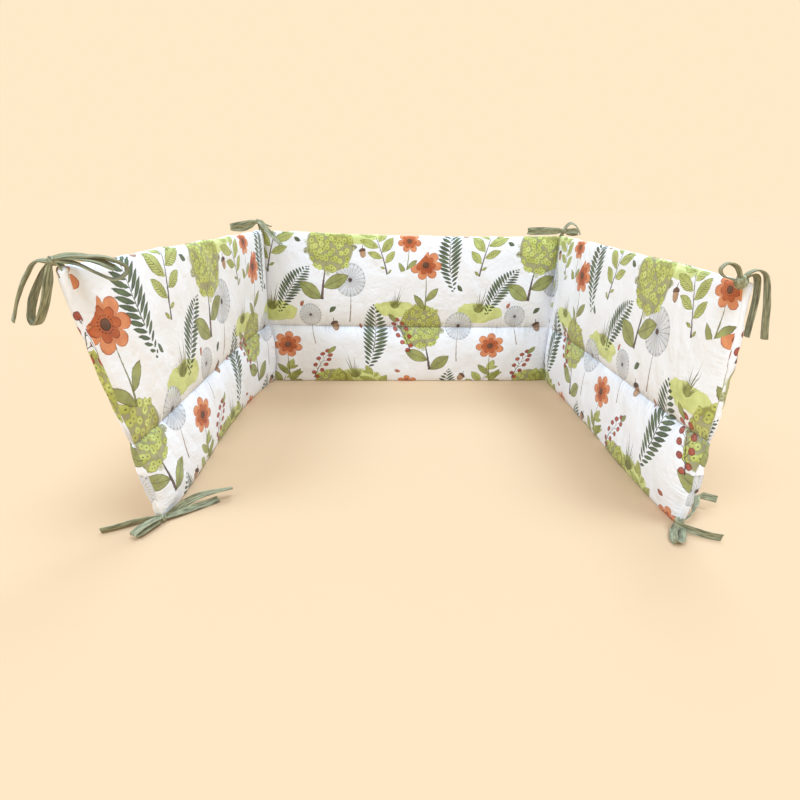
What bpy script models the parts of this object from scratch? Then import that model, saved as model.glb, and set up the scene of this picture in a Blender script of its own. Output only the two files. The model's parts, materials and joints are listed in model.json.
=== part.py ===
"""A padded crib bumper: one quilted cotton strip standing in a U of three panels, with six ribbon ties.

The strip is sewn flat, 1.80 m long and 0.30 m high, and filled. One seam along it makes a lower and an
upper channel, and two stitched folds let it turn the back corners. It stands on its long lower edge.
A ribbon is sewn into each of six corners and tied in a bow.

Units are metres, with +Z up. The back panel runs along X and the open side of the U faces -Y. The
finished part is centred on its box in X and Y, and its lower edge is at Z = 0.
"""

import math
from dataclasses import dataclass

import bmesh
import bpy
from mathutils import Vector

MM = 0.001

# The quilted strip, as it stands. Filling takes up 5 mm of the height of 0.30 m that it was sewn to.
STAND_HEIGHT = 0.295
SEAM_SHARE = 0.41  # height of the channel seam, as a share of the standing height, unless a post has its own
PAD_THICKNESS = 0.025  # through the middle of a channel
EDGE_THICKNESS = 0.011  # at the lower edge, the upper edge and the two open ends
SEWN_THICKNESS = 0.0045  # at the channel seam and the stitched folds
DOME_POWER = 2.5  # 2 is a round channel, and higher is flatter with steeper sides
FOLD_REACH = 0.011  # how far from a fold line the strip starts to turn
FOLD_HALF_ARC = 0.009
FOLD_SOFTNESS = 0.018  # how quickly the filling swells beside a stitched fold
END_REACH = 0.045  # how far from an open end the filling reaches its full thickness
EDGE_ROUND = 0.003  # how far the middle of an edge stands out past its sides
SEAM_ROUND = 0.0009  # the same at the ends of the seam and at the corners
END_DRAW = 0.003  # how far the seam and the corners are drawn in at an open end
DRAW_FADE = 0.020
CORNER_LIFT = 0.003  # the rounded lower corner of an open end, clear of the ground
CORNER_REACH = 0.010
CORNER_LEVELS = 0.25  # share of the height over which the lift dies away
CLEARANCE = 0.0003  # between a ribbon and the strip it is sewn to

# The mesh: rows up each channel, columns along each panel and around each fold.
CHANNEL_ROWS = (0.0, 0.06, 0.16, 0.32, 0.5, 0.68, 0.84, 0.94, 1.0)
PANEL_COLUMNS = (0.0, 0.02, 0.05, 0.1, 0.2, 0.35, 0.5, 0.65, 0.8, 0.9, 0.95, 0.98, 1.0)
FOLD_COLUMNS = (0.25, 0.5, 0.75)

# The ribbon and its knot.
RIBBON_WIDTH = 0.0092
RIBBON_THICKNESS = 0.0014
RIBBON_STEP = 0.006  # length of ribbon between two sections
GATHERED_SHARE = 0.5  # width inside the knot, as a share of the ribbon's width
GATHER_REACH = 0.016
KNOT_SIZE = (0.0105, 0.0095, 0.0095)
KNOT_SEGMENTS = 10
KNOT_RINGS = 7
CURVE_PARTS = 12  # short steps between two given places of a route, before it is spaced evenly
TINY = 1e-9


@dataclass(frozen=True)
class Post:
    """An end or a fold of the strip: where it stands, and how its top leans away from its foot."""

    foot: tuple[float, float]
    lean: tuple[float, float]
    rise: float  # how far its top stands above the strip's height
    belly: float = 0.0  # outward curve at mid height
    seam: float = SEAM_SHARE
    swell: float = EDGE_ROUND  # at an open end: how far the middle of the end stands out


@dataclass(frozen=True)
class Panel:
    """The soft bend of the strip between two posts, outward positive."""

    foot_bow: float
    head_bow: float
    foot_wave: float  # an S-shaped bend of the lower edge
    sag: float  # how far the upper edge dips between its posts


@dataclass(frozen=True)
class Column:
    """One upright section of the strip."""

    panel: int
    share: float
    turn: float  # share of the way round the fold that follows the panel, or -1 on the panel
    to_fold: float
    to_end: float


@dataclass(frozen=True)
class Run:
    """One free stretch of a ribbon, from its knot. Places are in mm from the knot's centre.

    A loop's route comes back to the knot. The ribbon's broad side lies along `broad` at the start
    and along `broad_end` at its end, each turned square to the route.
    """

    name: str
    route: tuple[tuple[float, float, float], ...]
    broad: tuple[float, float, float]
    broad_end: tuple[float, float, float]


@dataclass(frozen=True)
class Tie:
    """A ribbon tied in a bow: its knot's centre in mm, in the posts' frame, and its runs."""

    name: str
    knot: tuple[float, float, float]
    runs: tuple[Run, ...]


# Left front end, left fold, right fold, right front end.
POSTS = (
    Post(foot=(-0.345, -0.270), lean=(0.002, -0.036), rise=0.002, seam=0.378, swell=0.006),
    Post(foot=(-0.310, 0.282), lean=(0.019, -0.001), rise=0.004, belly=0.001),
    Post(foot=(0.326, 0.282), lean=(-0.019, 0.005), rise=0.003, belly=-0.006),
    Post(foot=(0.324, -0.302), lean=(-0.017, 0.011), rise=-0.005, belly=0.006),
)

# Left, back and right.
PANELS = (
    Panel(foot_bow=0.016, head_bow=-0.006, foot_wave=0.010, sag=-0.001),
    Panel(foot_bow=-0.001, head_bow=-0.002, foot_wave=0.0, sag=0.004),
    Panel(foot_bow=0.002, head_bow=0.007, foot_wave=-0.007, sag=-0.001),
)

ALONG_DEPTH = (0.1, 0.99, 0.0)
UPRIGHT = (0.0, 0.0, 1.0)
TILTED = (0.0, 0.88, 0.47)

TIES = (
    Tie(
        "tie_left_front_top",
        (-348, -306, 301),
        (
            Run("sewn_end", ((0, 0, 0), (4, 1, -3), (6, 2, -7)), ALONG_DEPTH, ALONG_DEPTH),
            Run(
                "hanging_tail",
                ((0, 0, 0), (-10, -6, 0), (-21, -9, -11), (-32, -11, -27), (-44, -12, -48)),
                (-0.05, 0.99, 0.1),
                (-0.50, 0.85, -0.15),
            ),
            Run(
                "hanging_loop",
                (
                    (0, 0, 0),
                    (-12, 2, -9),
                    (-28, 3, -29),
                    (-36, 1, -45),
                    (-32, -3, -53),
                    (-22, -6, -46),
                    (-9, -6, -24),
                    (-1, -2, -2),
                ),
                (0.2, 0.97, 0.0),
                (0.2, 0.97, 0.0),
            ),
            Run(
                "inner_loop",
                (
                    (0, 0, 0),
                    (12, 4, 2),
                    (27, 10, 3),
                    (42, 16, 0),
                    (53, 20, -8),
                    (41, 16, -16),
                    (29, 10, -10),
                    (18, 4, -2),
                    (3, 0, 1),
                ),
                (-0.36, 0.92, 0.05),
                (-0.40, 0.90, -0.05),
            ),
            Run(
                "inner_tail",
                ((0, 0, 1), (12, 3, 3), (24, 6, 2), (34, 10, -1), (44, 14, -7)),
                (-0.2, 0.60, 0.75),
                (-0.1, 0.15, 0.98),
            ),
        ),
    ),
    Tie(
        "tie_left_back_top",
        (-296, 280, 313),
        (
            Run("sewn_end", ((0, 0, 0), (4, 0, -8), (6, 0, -16)), (1, 0, 0), (1, 0, 0)),
            Run(
                "outer_loop",
                (
                    (0, 0, 0),
                    (-13, 4, -2),
                    (-31, 8, -5),
                    (-48, 9, -8),
                    (-54, 3, -10),
                    (-44, -4, -12),
                    (-25, -4, -11),
                    (-3, -1, -1),
                ),
                UPRIGHT,
                UPRIGHT,
            ),
            Run(
                "long_tail",
                ((0, 0, 0), (9, -11, -2), (24, -21, -17), (45, -26, -38)),
                (0.7, 0.2, 0.7),
                (0.7, 0.1, 0.7),
            ),
            Run("short_tail", ((0, 0, 0), (12, -5, -3), (25, -12, -7)), ALONG_DEPTH, ALONG_DEPTH),
        ),
    ),
    Tie(
        "tie_right_back_top",
        (312, 287, 308),
        (
            Run("sewn_end", ((0, 0, 0), (-3, 0, -5), (-5, 0, -12)), (1, 0, 0), (1, 0, 0)),
            Run(
                "outer_loop",
                (
                    (0, 0, 0),
                    (-17, 8, 0),
                    (-45, 13, 0),
                    (-66, 12, -1),
                    (-72, 8, -3),
                    (-62, 5, -4),
                    (-30, 3, -3),
                    (-3, 1, -1),
                ),
                UPRIGHT,
                UPRIGHT,
            ),
            Run(
                "arched_loop",
                (
                    (0, 0, 0),
                    (3, 0, 9),
                    (12, 0, 13),
                    (24, -2, 7),
                    (31, -4, -2),
                    (21, -3, -8),
                    (3, -1, -3),
                ),
                ALONG_DEPTH,
                ALONG_DEPTH,
            ),
            Run(
                "short_tail",
                ((0, 0, 0), (10, -9, -5), (22, -20, -8), (36, -31, -11)),
                (0.5, 0.6, 0.6),
                (0.5, 0.5, 0.7),
            ),
        ),
    ),
    Tie(
        "tie_right_front_top",
        (297, -291, 290),
        (
            Run("sewn_end", ((0, 0, 0), (4, 1, -1), (8, 2, -4)), ALONG_DEPTH, ALONG_DEPTH),
            Run(
                "round_loop",
                (
                    (0, 0, 0),
                    (-9, 1, 2),
                    (-19, 2, 5),
                    (-23, 3, 11),
                    (-18, 2, 16),
                    (-10, 0, 13),
                    (-3, -1, 4),
                ),
                (0.3, 0.95, 0.0),
                (0.3, 0.95, 0.0),
            ),
            Run(
                "outer_tail",
                (
                    (0, 0, 0),
                    (5, -1, 8),
                    (12, -2, 11),
                    (19, -5, 7),
                    (23, -7, -3),
                    (28, -9, -20),
                    (39, -12, -53),
                ),
                (0.3, 0.95, 0.0),
                (-0.2, 0.97, 0.0),
            ),
            Run(
                "inner_tail",
                ((0, 0, 0), (11, 3, 6), (22, 6, 0), (30, 7, -20), (37, 7, -55)),
                (0.0, 1.0, 0.0),
                (0.0, 1.0, 0.0),
            ),
        ),
    ),
    Tie(
        "tie_left_front_foot",
        (-340, -274, 5),
        (
            Run("sewn_end", ((0, 0, 0), (-2, 3, 1), (-4, 6, 3)), UPRIGHT, UPRIGHT),
            Run(
                "outer_tail",
                ((0, 0, 0), (-13, -6, -1), (-29, -11, -2), (-45, -17, -2), (-64, -23, -2)),
                TILTED,
                TILTED,
            ),
            Run(
                "small_loop",
                (
                    (0, 0, 1),
                    (-8, -5, 2),
                    (-18, -12, 3),
                    (-22, -23, 2),
                    (-17, -33, 0),
                    (-10, -22, 0),
                    (-3, -8, 0),
                ),
                (0.1, 0.55, 0.83),
                (0.3, 0.3, 0.9),
            ),
            Run(
                "inner_tail",
                ((0, 0, 0), (8, 11, 2), (17, 23, 5), (31, 35, 8), (51, 45, 10), (74, 54, 10)),
                UPRIGHT,
                (-0.2, 0.88, -0.3),
            ),
            Run(
                "inner_loop_end",
                ((0, 0, 0), (13, 11, 0), (28, 23, -1), (42, 35, -2), (55, 46, -2)),
                TILTED,
                (-0.5, 0.7, 0.5),
            ),
        ),
    ),
    Tie(
        "tie_right_front_foot",
        (324, -301, 5),
        (
            Run("sewn_end", ((0, 0, 0), (2, 4, 1), (3, 8, 3)), UPRIGHT, UPRIGHT),
            Run(
                "front_tail",
                ((0, 0, 0), (-11, -6, 3), (-16, -13, 4), (-9, -20, 3), (11, -29, 0), (32, -37, -2)),
                (0.1, 0.5, 0.8),
                TILTED,
            ),
            Run(
                "round_loop",
                (
                    (0, 0, 0),
                    (-12, -10, 0),
                    (-25, -26, 0),
                    (-32, -41, 0),
                    (-27, -47, 0),
                    (-17, -36, 0),
                    (-3, -5, 0),
                ),
                (0.3, 0.3, 0.9),
                (0.3, 0.3, 0.9),
            ),
            Run(
                "outer_tail",
                (
                    (0, 0, 0),
                    (9, 3, 3),
                    (19, 10, 7),
                    (28, 21, 11),
                    (35, 33, 14),
                    (43, 37, 15),
                    (54, 35, 13),
                    (65, 32, 11),
                ),
                (0.76, -0.65, 0.0),
                (0.1, 0.6, 0.8),
            ),
        ),
    ),
)
TIES_ON_THE_GROUND = ("tie_left_front_foot", "tie_right_front_foot")


def dome(place: float) -> float:
    """Height of a filled channel's section, from 0 at place -1 or 1 to 1 at place 0."""
    return max(0.0, 1.0 - min(abs(place), 1.0) ** DOME_POWER) ** (1.0 / DOME_POWER)


def all_levels() -> list[float]:
    """Shares of the strip's height at which the mesh has a row, for a seam at its usual height."""
    lower = [share * SEAM_SHARE for share in CHANNEL_ROWS]
    upper = [SEAM_SHARE + share * (1.0 - SEAM_SHARE) for share in CHANNEL_ROWS]
    return lower + upper[1:]


def channel_place(level: float) -> tuple[float, float]:
    """Place across the channel that holds this level, from -1 to 1, and its closeness to the rim."""
    if level <= SEAM_SHARE:
        share = level / SEAM_SHARE
        return 2.0 * share - 1.0, 1.0 - share
    share = (level - SEAM_SHARE) / (1.0 - SEAM_SHARE)
    return 2.0 * share - 1.0, share


def post_spot(index: int, level: float) -> Vector:
    """Plan place of a post's line at this level."""
    post = POSTS[index]
    foot = Vector(post.foot)
    middle = sum((Vector(other.foot) for other in POSTS), Vector((0.0, 0.0))) / len(POSTS)
    outward = (foot - middle).normalized()
    return foot + level * Vector(post.lean) + 4.0 * level * (1.0 - level) * post.belly * outward


def panel_spot(index: int, share: float, level: float) -> Vector:
    """Plan place of the middle of the strip, this share of the way along a panel."""
    panel = PANELS[index]
    start = post_spot(index, level)
    chord = post_spot(index + 1, level) - start
    outward = Vector((-chord.y, chord.x)).normalized()
    bow = (1.0 - level) * panel.foot_bow + level * panel.head_bow
    wave = 6.0 * share * (1.0 - share) * (2.0 * share - 1.0) * (1.0 - level) * panel.foot_wave
    return start + share * chord + (4.0 * share * (1.0 - share) * bow + wave) * outward


def panel_length(index: int) -> float:
    return (Vector(POSTS[index + 1].foot) - Vector(POSTS[index].foot)).length


def all_columns() -> list[Column]:
    """The upright sections of the strip, from its left front end to its right front end."""
    columns = []
    for index in range(len(PANELS)):
        length = panel_length(index)
        first = FOLD_REACH / length if index > 0 else 0.0
        last = 1.0 - (FOLD_REACH / length if index < len(PANELS) - 1 else 0.0)
        for step in PANEL_COLUMNS:
            share = first + step * (last - first)
            before = (share - first) * length + FOLD_HALF_ARC if index > 0 else math.inf
            after = (last - share) * length + FOLD_HALF_ARC if index < len(PANELS) - 1 else math.inf
            ends = []
            if index == 0:
                ends.append(share * length)
            if index == len(PANELS) - 1:
                ends.append((1.0 - share) * length)
            columns.append(Column(index, share, -1.0, min(before, after), min(ends, default=math.inf)))
        if index < len(PANELS) - 1:
            for turn in FOLD_COLUMNS:
                to_fold = 2.0 * abs(turn - 0.5) * FOLD_HALF_ARC
                columns.append(Column(index, last, turn, to_fold, math.inf))
    return columns


def column_spot(column: Column, level: float) -> Vector:
    """Plan place of the middle of the strip at a column: on a panel, or on the curve round a fold."""
    start = panel_spot(column.panel, column.share, level)
    if column.turn < 0.0:
        return start
    corner = post_spot(column.panel + 1, level)
    finish = panel_spot(column.panel + 1, FOLD_REACH / panel_length(column.panel + 1), level)
    turn = column.turn
    return (1.0 - turn) ** 2 * start + 2.0 * turn * (1.0 - turn) * corner + turn**2 * finish


def from_posts(column: Column, start: float, finish: float) -> float:
    """Value at a column of something that is given at the posts before and after its panel."""
    share = 1.0 if column.turn >= 0.0 else column.share
    return (1.0 - share) * start + share * finish


def true_level(column: Column, level: float) -> float:
    """Share of the height at which a row lies here, with the seam where this column has it."""
    seam = from_posts(column, POSTS[column.panel].seam, POSTS[column.panel + 1].seam)
    if level <= SEAM_SHARE:
        return level / SEAM_SHARE * seam
    return seam + (level - SEAM_SHARE) / (1.0 - SEAM_SHARE) * (1.0 - seam)


def top_height(column: Column) -> float:
    """Height of the upper edge at a column."""
    rise = from_posts(column, POSTS[column.panel].rise, POSTS[column.panel + 1].rise)
    return STAND_HEIGHT + rise - 4.0 * column.share * (1.0 - column.share) * PANELS[column.panel].sag


def half_thickness(column: Column, level: float) -> float:
    """Half of the strip's thickness: thin where it is sewn, fuller at its rim, fullest in a channel."""
    place, to_rim = channel_place(level)
    across = dome(place)
    beside_fold = 1.0 - math.exp(-column.to_fold / FOLD_SOFTNESS)
    beside_end = dome(1.0 - column.to_end / END_REACH) if column.to_end < END_REACH else 1.0
    rim = max(to_rim * min(1.0, column.to_fold / END_REACH), across * math.exp(-column.to_end / END_REACH))
    flat = 0.5 * (SEWN_THICKNESS + (EDGE_THICKNESS - SEWN_THICKNESS) * rim)
    return flat + (0.5 * PAD_THICKNESS - flat) * across * beside_fold * beside_end


def strip_sections(levels: list[float], columns: list[Column], clearance: float) -> list[list[tuple]]:
    """For each level and column: the strip's middle, its outward side, its way along and half thickness."""
    sections = []
    for level in levels:
        spots = [column_spot(column, true_level(column, level)) for column in columns]
        row = []
        for number, column in enumerate(columns):
            before = spots[max(number - 1, 0)]
            after = spots[min(number + 1, len(spots) - 1)]
            along = (after - before).normalized()
            outward = Vector((-along.y, along.x))
            drawn = (1.0 - dome(channel_place(level)[0])) * END_DRAW * math.exp(-column.to_end / DRAW_FADE)
            inward = along if number < len(spots) / 2 else -along
            middle = spots[number] + drawn * inward
            row.append((middle, outward, inward, half_thickness(column, level) + clearance))
        sections.append(row)
    return sections


def row_height(column: Column, level: float) -> float:
    """Height of a row at a column. The lower corners of the open ends are lifted."""
    nearness = max(0.0, 1.0 - column.to_end / CORNER_REACH)
    lift = CORNER_LIFT * nearness**2 * max(0.0, 1.0 - level / CORNER_LEVELS)
    return true_level(column, level) * (top_height(column) - EDGE_ROUND) + lift


def strip_mesh(name: str, clearance: float = 0.0) -> bpy.types.Mesh:
    """Mesh the filled strip as one closed form, thicker all over by a clearance.

    Args:
        name: Name of the new mesh.
        clearance: Thickness added to each side, to its ends and to its top.

    Returns:
        The mesh, in the posts' frame.
    """
    levels = all_levels()
    columns = all_columns()
    sections = strip_sections(levels, columns, clearance)
    form = bmesh.new()

    def corner(row: int, number: int, side: float) -> bmesh.types.BMVert:
        middle, outward, _inward, half = sections[row][number]
        spot = middle + side * half * outward
        foot = -clearance if row == 0 else 0.0
        return form.verts.new((spot.x, spot.y, row_height(columns[number], levels[row]) + foot))

    rows, count = range(len(levels)), len(columns)
    inner = [[corner(row, number, -1.0) for number in range(count)] for row in rows]
    outer = [[corner(row, number, 1.0) for number in range(count)] for row in rows]

    crest = []
    for number, column in enumerate(columns):
        middle, _outward, inward, _half = sections[-1][number]
        if number in (0, count - 1):
            middle = middle - (SEAM_ROUND + clearance) * inward
        crest.append(form.verts.new((middle.x, middle.y, top_height(column) + clearance)))

    rims = []
    for number, post in ((0, POSTS[0]), (count - 1, POSTS[-1])):
        rim = []
        for row in rows[:-1]:
            middle, _outward, inward, _half = sections[row][number]
            stand_out = SEAM_ROUND + (post.swell - SEAM_ROUND) * dome(channel_place(levels[row])[0])
            spot = middle - (stand_out + clearance) * inward
            foot = -clearance if row == 0 else 0.0
            rim.append(form.verts.new((spot.x, spot.y, row_height(columns[number], levels[row]) + foot)))
        rims.append(rim + [crest[number]])

    for row in rows[:-1]:
        for number in range(count - 1):
            for side in (inner, outer):
                low, high = side[row], side[row + 1]
                form.faces.new((low[number], low[number + 1], high[number + 1], high[number]))
        for rim, number in zip(rims, (0, count - 1)):
            for side in (inner, outer):
                form.faces.new((side[row][number], side[row + 1][number], rim[row + 1], rim[row]))
    for number in range(count - 1):
        for side in (inner, outer):
            form.faces.new((side[-1][number], side[-1][number + 1], crest[number + 1], crest[number]))
        form.faces.new((inner[0][number], inner[0][number + 1], outer[0][number + 1], outer[0][number]))
    for rim, number in zip(rims, (0, count - 1)):
        form.faces.new((inner[0][number], outer[0][number], rim[0]))

    bmesh.ops.triangulate(form, faces=form.faces[:])
    bmesh.ops.recalc_face_normals(form, faces=form.faces[:])
    mesh = bpy.data.meshes.new(name)
    form.to_mesh(mesh)
    form.free()
    return mesh


def smooth_route(points: tuple[tuple[float, float, float], ...], step: float) -> list[Vector]:
    """Evenly spaced places on a smooth curve through points that are given in mm.

    Args:
        points: The places the curve passes through, in mm.
        step: Distance between two places of the result, in metres.

    Returns:
        Places in metres, with both ends kept.
    """
    through = [Vector(point) * MM for point in points]
    through = [2.0 * through[0] - through[1], *through, 2.0 * through[-1] - through[-2]]
    fine = []
    for before, start, end, after in zip(through, through[1:], through[2:], through[3:]):
        for part in range(CURVE_PARTS):
            t = part / CURVE_PARTS
            fine.append(
                0.5
                * (
                    2.0 * start
                    + (end - before) * t
                    + (2.0 * before - 5.0 * start + 4.0 * end - after) * t**2
                    + (3.0 * start - before - 3.0 * end + after) * t**3
                )
            )
    fine.append(through[-2])
    reach = [0.0]
    for start, end in zip(fine, fine[1:]):
        reach.append(reach[-1] + (end - start).length)
    count = max(2, round(reach[-1] / step))
    places = []
    at = 0
    for number in range(count + 1):
        wanted = reach[-1] * number / count
        while at < len(fine) - 2 and reach[at + 1] < wanted:
            at += 1
        share = (wanted - reach[at]) / max(reach[at + 1] - reach[at], TINY)
        places.append(fine[at].lerp(fine[at + 1], min(max(share, 0.0), 1.0)))
    return places


def ribbon_mesh(tie: Tie, run: Run) -> bpy.types.Mesh:
    """Mesh one run of a ribbon as a closed strap, gathered where it enters the knot."""
    places = smooth_route(run.route, RIBBON_STEP)
    last = len(places) - 1
    is_loop = places[-1].length < GATHER_REACH / 2
    grounded = tie.name in TIES_ON_THE_GROUND
    knot = Vector(tie.knot) * MM
    form = bmesh.new()
    rings = []
    for number, place in enumerate(places):
        along = (places[min(number + 1, last)] - places[max(number - 1, 0)]).normalized()
        broad = Vector(run.broad).lerp(Vector(run.broad_end), number / last)
        broad = (broad - broad.dot(along) * along).normalized()
        flat = along.cross(broad)
        from_knot = min(number, last - number) if is_loop else number
        gather = max(0.0, 1.0 - from_knot * RIBBON_STEP / GATHER_REACH)
        half_width = 0.5 * RIBBON_WIDTH * (1.0 - (1.0 - GATHERED_SHARE) * gather)
        half_thick = 0.5 * RIBBON_THICKNESS
        centre = knot + place
        if grounded:
            centre.z = max(centre.z, half_width * abs(broad.z) + half_thick * abs(flat.z) + CLEARANCE)
        rings.append(
            [
                form.verts.new(centre + half_width * wide * broad + half_thick * thick * flat)
                for wide, thick in ((1, 1), (-1, 1), (-1, -1), (1, -1))
            ]
        )
    for before, after in zip(rings, rings[1:]):
        for number in range(4):
            following = (number + 1) % 4
            form.faces.new((before[number], before[following], after[following], after[number]))
    form.faces.new(rings[0])
    form.faces.new(rings[-1])
    bmesh.ops.triangulate(form, faces=form.faces[:])
    bmesh.ops.recalc_face_normals(form, faces=form.faces[:])
    mesh = bpy.data.meshes.new(f"{tie.name}_{run.name}")
    form.to_mesh(mesh)
    form.free()
    return mesh


def knot_mesh(tie: Tie) -> bpy.types.Mesh:
    """Mesh the knot of a bow as a closed, slightly flattened ball."""
    form = bmesh.new()
    bmesh.ops.create_uvsphere(form, u_segments=KNOT_SEGMENTS, v_segments=KNOT_RINGS, radius=0.5)
    bmesh.ops.scale(form, vec=KNOT_SIZE, verts=form.verts)
    bmesh.ops.translate(form, vec=Vector(tie.knot) * MM, verts=form.verts)
    mesh = bpy.data.meshes.new(tie.name)
    form.to_mesh(mesh)
    form.free()
    return mesh


def cloth_material(name: str, colour: tuple[float, float, float], roughness: float) -> bpy.types.Material:
    material = bpy.data.materials.new(name)
    material.use_nodes = True
    shader = material.node_tree.nodes["Principled BSDF"]
    shader.inputs["Base Color"].default_value = (*colour, 1.0)
    shader.inputs["Roughness"].default_value = roughness
    shader.inputs["Metallic"].default_value = 0.0
    return material


def add_object(name: str, mesh: bpy.types.Mesh, parent: bpy.types.Object) -> bpy.types.Object:
    """Put a mesh in the scene under the part's origin."""
    piece = bpy.data.objects.new(name, mesh)
    piece.parent = parent
    bpy.context.scene.collection.objects.link(piece)
    return piece


def add_helper(name: str, mesh: bpy.types.Mesh, parent: bpy.types.Object) -> bpy.types.Object:
    """Put a mesh in the scene that only shapes other pieces."""
    helper = add_object(name, mesh, parent)
    helper.hide_render = True
    helper.display_type = "WIRE"
    return helper


def add_boolean(piece: bpy.types.Object, helper: bpy.types.Object, operation: str) -> None:
    modifier = piece.modifiers.new(helper.name, "BOOLEAN")
    modifier.operation = operation
    modifier.object = helper
    modifier.solver = "EXACT"
    modifier.use_self = operation == "UNION"


def build_strip(parent: bpy.types.Object, material: bpy.types.Material) -> bpy.types.Object:
    """Build the quilted, filled strip."""
    mesh = strip_mesh("quilted_strip")
    mesh.materials.append(material)
    mesh.shade_smooth()
    mesh.set_sharp_from_angle(angle=math.radians(50.0))
    return add_object("quilted_strip", mesh, parent)


def build_tie(
    tie: Tie, parent: bpy.types.Object, material: bpy.types.Material, room: bpy.types.Object
) -> bpy.types.Object:
    """Build one bow: its knot and its runs in one piece, cut clear of the strip.

    Args:
        tie: The bow's sizes.
        parent: The part's origin.
        material: The ribbon's material.
        room: The strip with the clearance added, which is cut away from the bow.

    Returns:
        The bow's object.
    """
    mesh = knot_mesh(tie)
    mesh.materials.append(material)
    bow = add_object(tie.name, mesh, parent)
    for run in tie.runs:
        add_boolean(bow, add_helper(f"{tie.name}_{run.name}", ribbon_mesh(tie, run), parent), "UNION")
    add_boolean(bow, room, "DIFFERENCE")
    return bow


def centre_on_box(origin: bpy.types.Object, pieces: list[bpy.types.Object]) -> None:
    """Move the part's origin so that the box of all its pieces is centred in X and Y."""
    bpy.context.view_layer.update()
    graph = bpy.context.evaluated_depsgraph_get()
    places = []
    for piece in pieces:
        shaped = piece.evaluated_get(graph)
        places.extend(vertex.co.copy() for vertex in shaped.to_mesh().vertices)
        shaped.to_mesh_clear()
    for axis in (0, 1):
        values = [place[axis] for place in places]
        origin.location[axis] = -0.5 * (min(values) + max(values))


def main() -> None:
    """Build the strip and its six ties, and centre them."""
    for thing in list(bpy.data.objects):
        bpy.data.objects.remove(thing, do_unlink=True)
    origin = bpy.data.objects.new("bumper_origin", None)
    bpy.context.scene.collection.objects.link(origin)
    cotton = cloth_material("printed_cotton", (0.90, 0.90, 0.88), 0.85)
    ribbon = cloth_material("sage_ribbon", (0.24, 0.26, 0.18), 0.75)
    strip = build_strip(origin, cotton)
    room = add_helper("room_for_strip", strip_mesh("room_for_strip", CLEARANCE), origin)
    bows = [build_tie(tie, origin, ribbon, room) for tie in TIES]
    centre_on_box(origin, [strip, *bows])


main()
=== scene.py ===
"""A quilted cotton crib bumper with ribbon bows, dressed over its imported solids.

The strip is shaped again from its own sizes at a finer pitch, with the puckers of its seams, and gets a
printed cotton. The bows get soft, folded ribbon with wound knots. Units are metres, with +Z up.
"""

import json
import logging
import math
from abc import ABC, abstractmethod
from collections.abc import Iterable, Sequence
from dataclasses import dataclass, field
from enum import Enum

import bmesh
import bpy
import numpy as np
from bpy.types import ID, Material, Mesh, Node, NodeSocket, NodeTree, Object
from mathutils import Matrix, Vector

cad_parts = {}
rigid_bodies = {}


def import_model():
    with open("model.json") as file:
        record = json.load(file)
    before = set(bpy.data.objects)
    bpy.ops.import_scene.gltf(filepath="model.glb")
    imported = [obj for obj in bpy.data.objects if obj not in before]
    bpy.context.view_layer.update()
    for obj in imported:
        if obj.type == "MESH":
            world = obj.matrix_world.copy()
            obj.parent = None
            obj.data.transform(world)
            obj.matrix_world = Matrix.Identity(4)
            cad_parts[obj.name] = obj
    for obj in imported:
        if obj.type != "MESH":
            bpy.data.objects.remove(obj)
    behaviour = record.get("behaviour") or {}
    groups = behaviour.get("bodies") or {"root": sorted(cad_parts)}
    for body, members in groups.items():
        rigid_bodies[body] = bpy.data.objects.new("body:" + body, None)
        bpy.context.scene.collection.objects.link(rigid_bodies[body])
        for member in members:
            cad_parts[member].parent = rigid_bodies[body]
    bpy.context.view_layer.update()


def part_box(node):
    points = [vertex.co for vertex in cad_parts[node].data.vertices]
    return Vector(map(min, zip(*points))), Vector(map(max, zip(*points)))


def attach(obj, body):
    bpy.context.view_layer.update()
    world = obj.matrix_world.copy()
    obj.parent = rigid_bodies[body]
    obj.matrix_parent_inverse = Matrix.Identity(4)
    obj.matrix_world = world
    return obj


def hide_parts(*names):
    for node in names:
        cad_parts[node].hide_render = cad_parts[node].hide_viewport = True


LOG = logging.getLogger("crib_bumper")
MM = 0.001
CM = 0.01
BODY = "root"
STRIP_NODE = "quilted_strip"
UPRIGHT_FROM = 0.7  # upward part from which a direction counts as upright
SMOOTH_ANGLE = 60.0  # degrees between faces up to which cloth and thread are shaded smooth
RIBBON_SMOOTH_ANGLE = 55.0

Array = np.ndarray
Pair = tuple[float, float]
Triple = tuple[float, float, float]
Colour = tuple[float, float, float]


class Side(Enum):
    """A face of the strip, as the direction in which it looks away from the strip's middle."""

    INNER = -1.0
    OUTER = 1.0


class RunEnd(Enum):
    """How a ribbon's run ends."""

    LOOP = "goes back into its knot"
    TAIL = "ends in a cut"


# ---- Helpers for lines, uneven cloth and meshes ----


def unit(vectors: Array) -> Array:
    """Vectors of length 1 with the same directions."""
    return vectors / np.linalg.norm(vectors, axis=-1, keepdims=True)


def arch(share: Array | float) -> Array | float:
    """Height of an arch: 0 at shares 0 and 1, and 1 halfway."""
    return 4.0 * share * (1.0 - share)


def reaches(line: Array) -> Array:
    """Distance of each point of a line from its start, measured along it."""
    return np.concatenate([[0.0], np.cumsum(np.linalg.norm(np.diff(line, axis=0), axis=1))])


def places_along(line: Array, distances: Sequence[float] | Array) -> Array:
    """Places on a line at distances from its start."""
    return np.column_stack([np.interp(distances, reaches(line), part) for part in line.T])


def square_to(axis: Array) -> tuple[Array, Array]:
    """Two directions that are square to an axis and to each other."""
    first = unit(np.cross(axis, (1.0, 0.0, 0.0) if abs(axis[2]) >= UPRIGHT_FROM else (0.0, 0.0, 1.0)))
    return first, np.cross(axis, first)


def circle(axis: Array, corners: int) -> Array:
    """Points of a circle of radius 1 round an axis, one row for each of its corners."""
    turn = math.tau * np.arange(corners)[:, None] / corners
    return sum(part * side for part, side in zip((np.cos(turn), np.sin(turn)), square_to(axis)))


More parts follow.
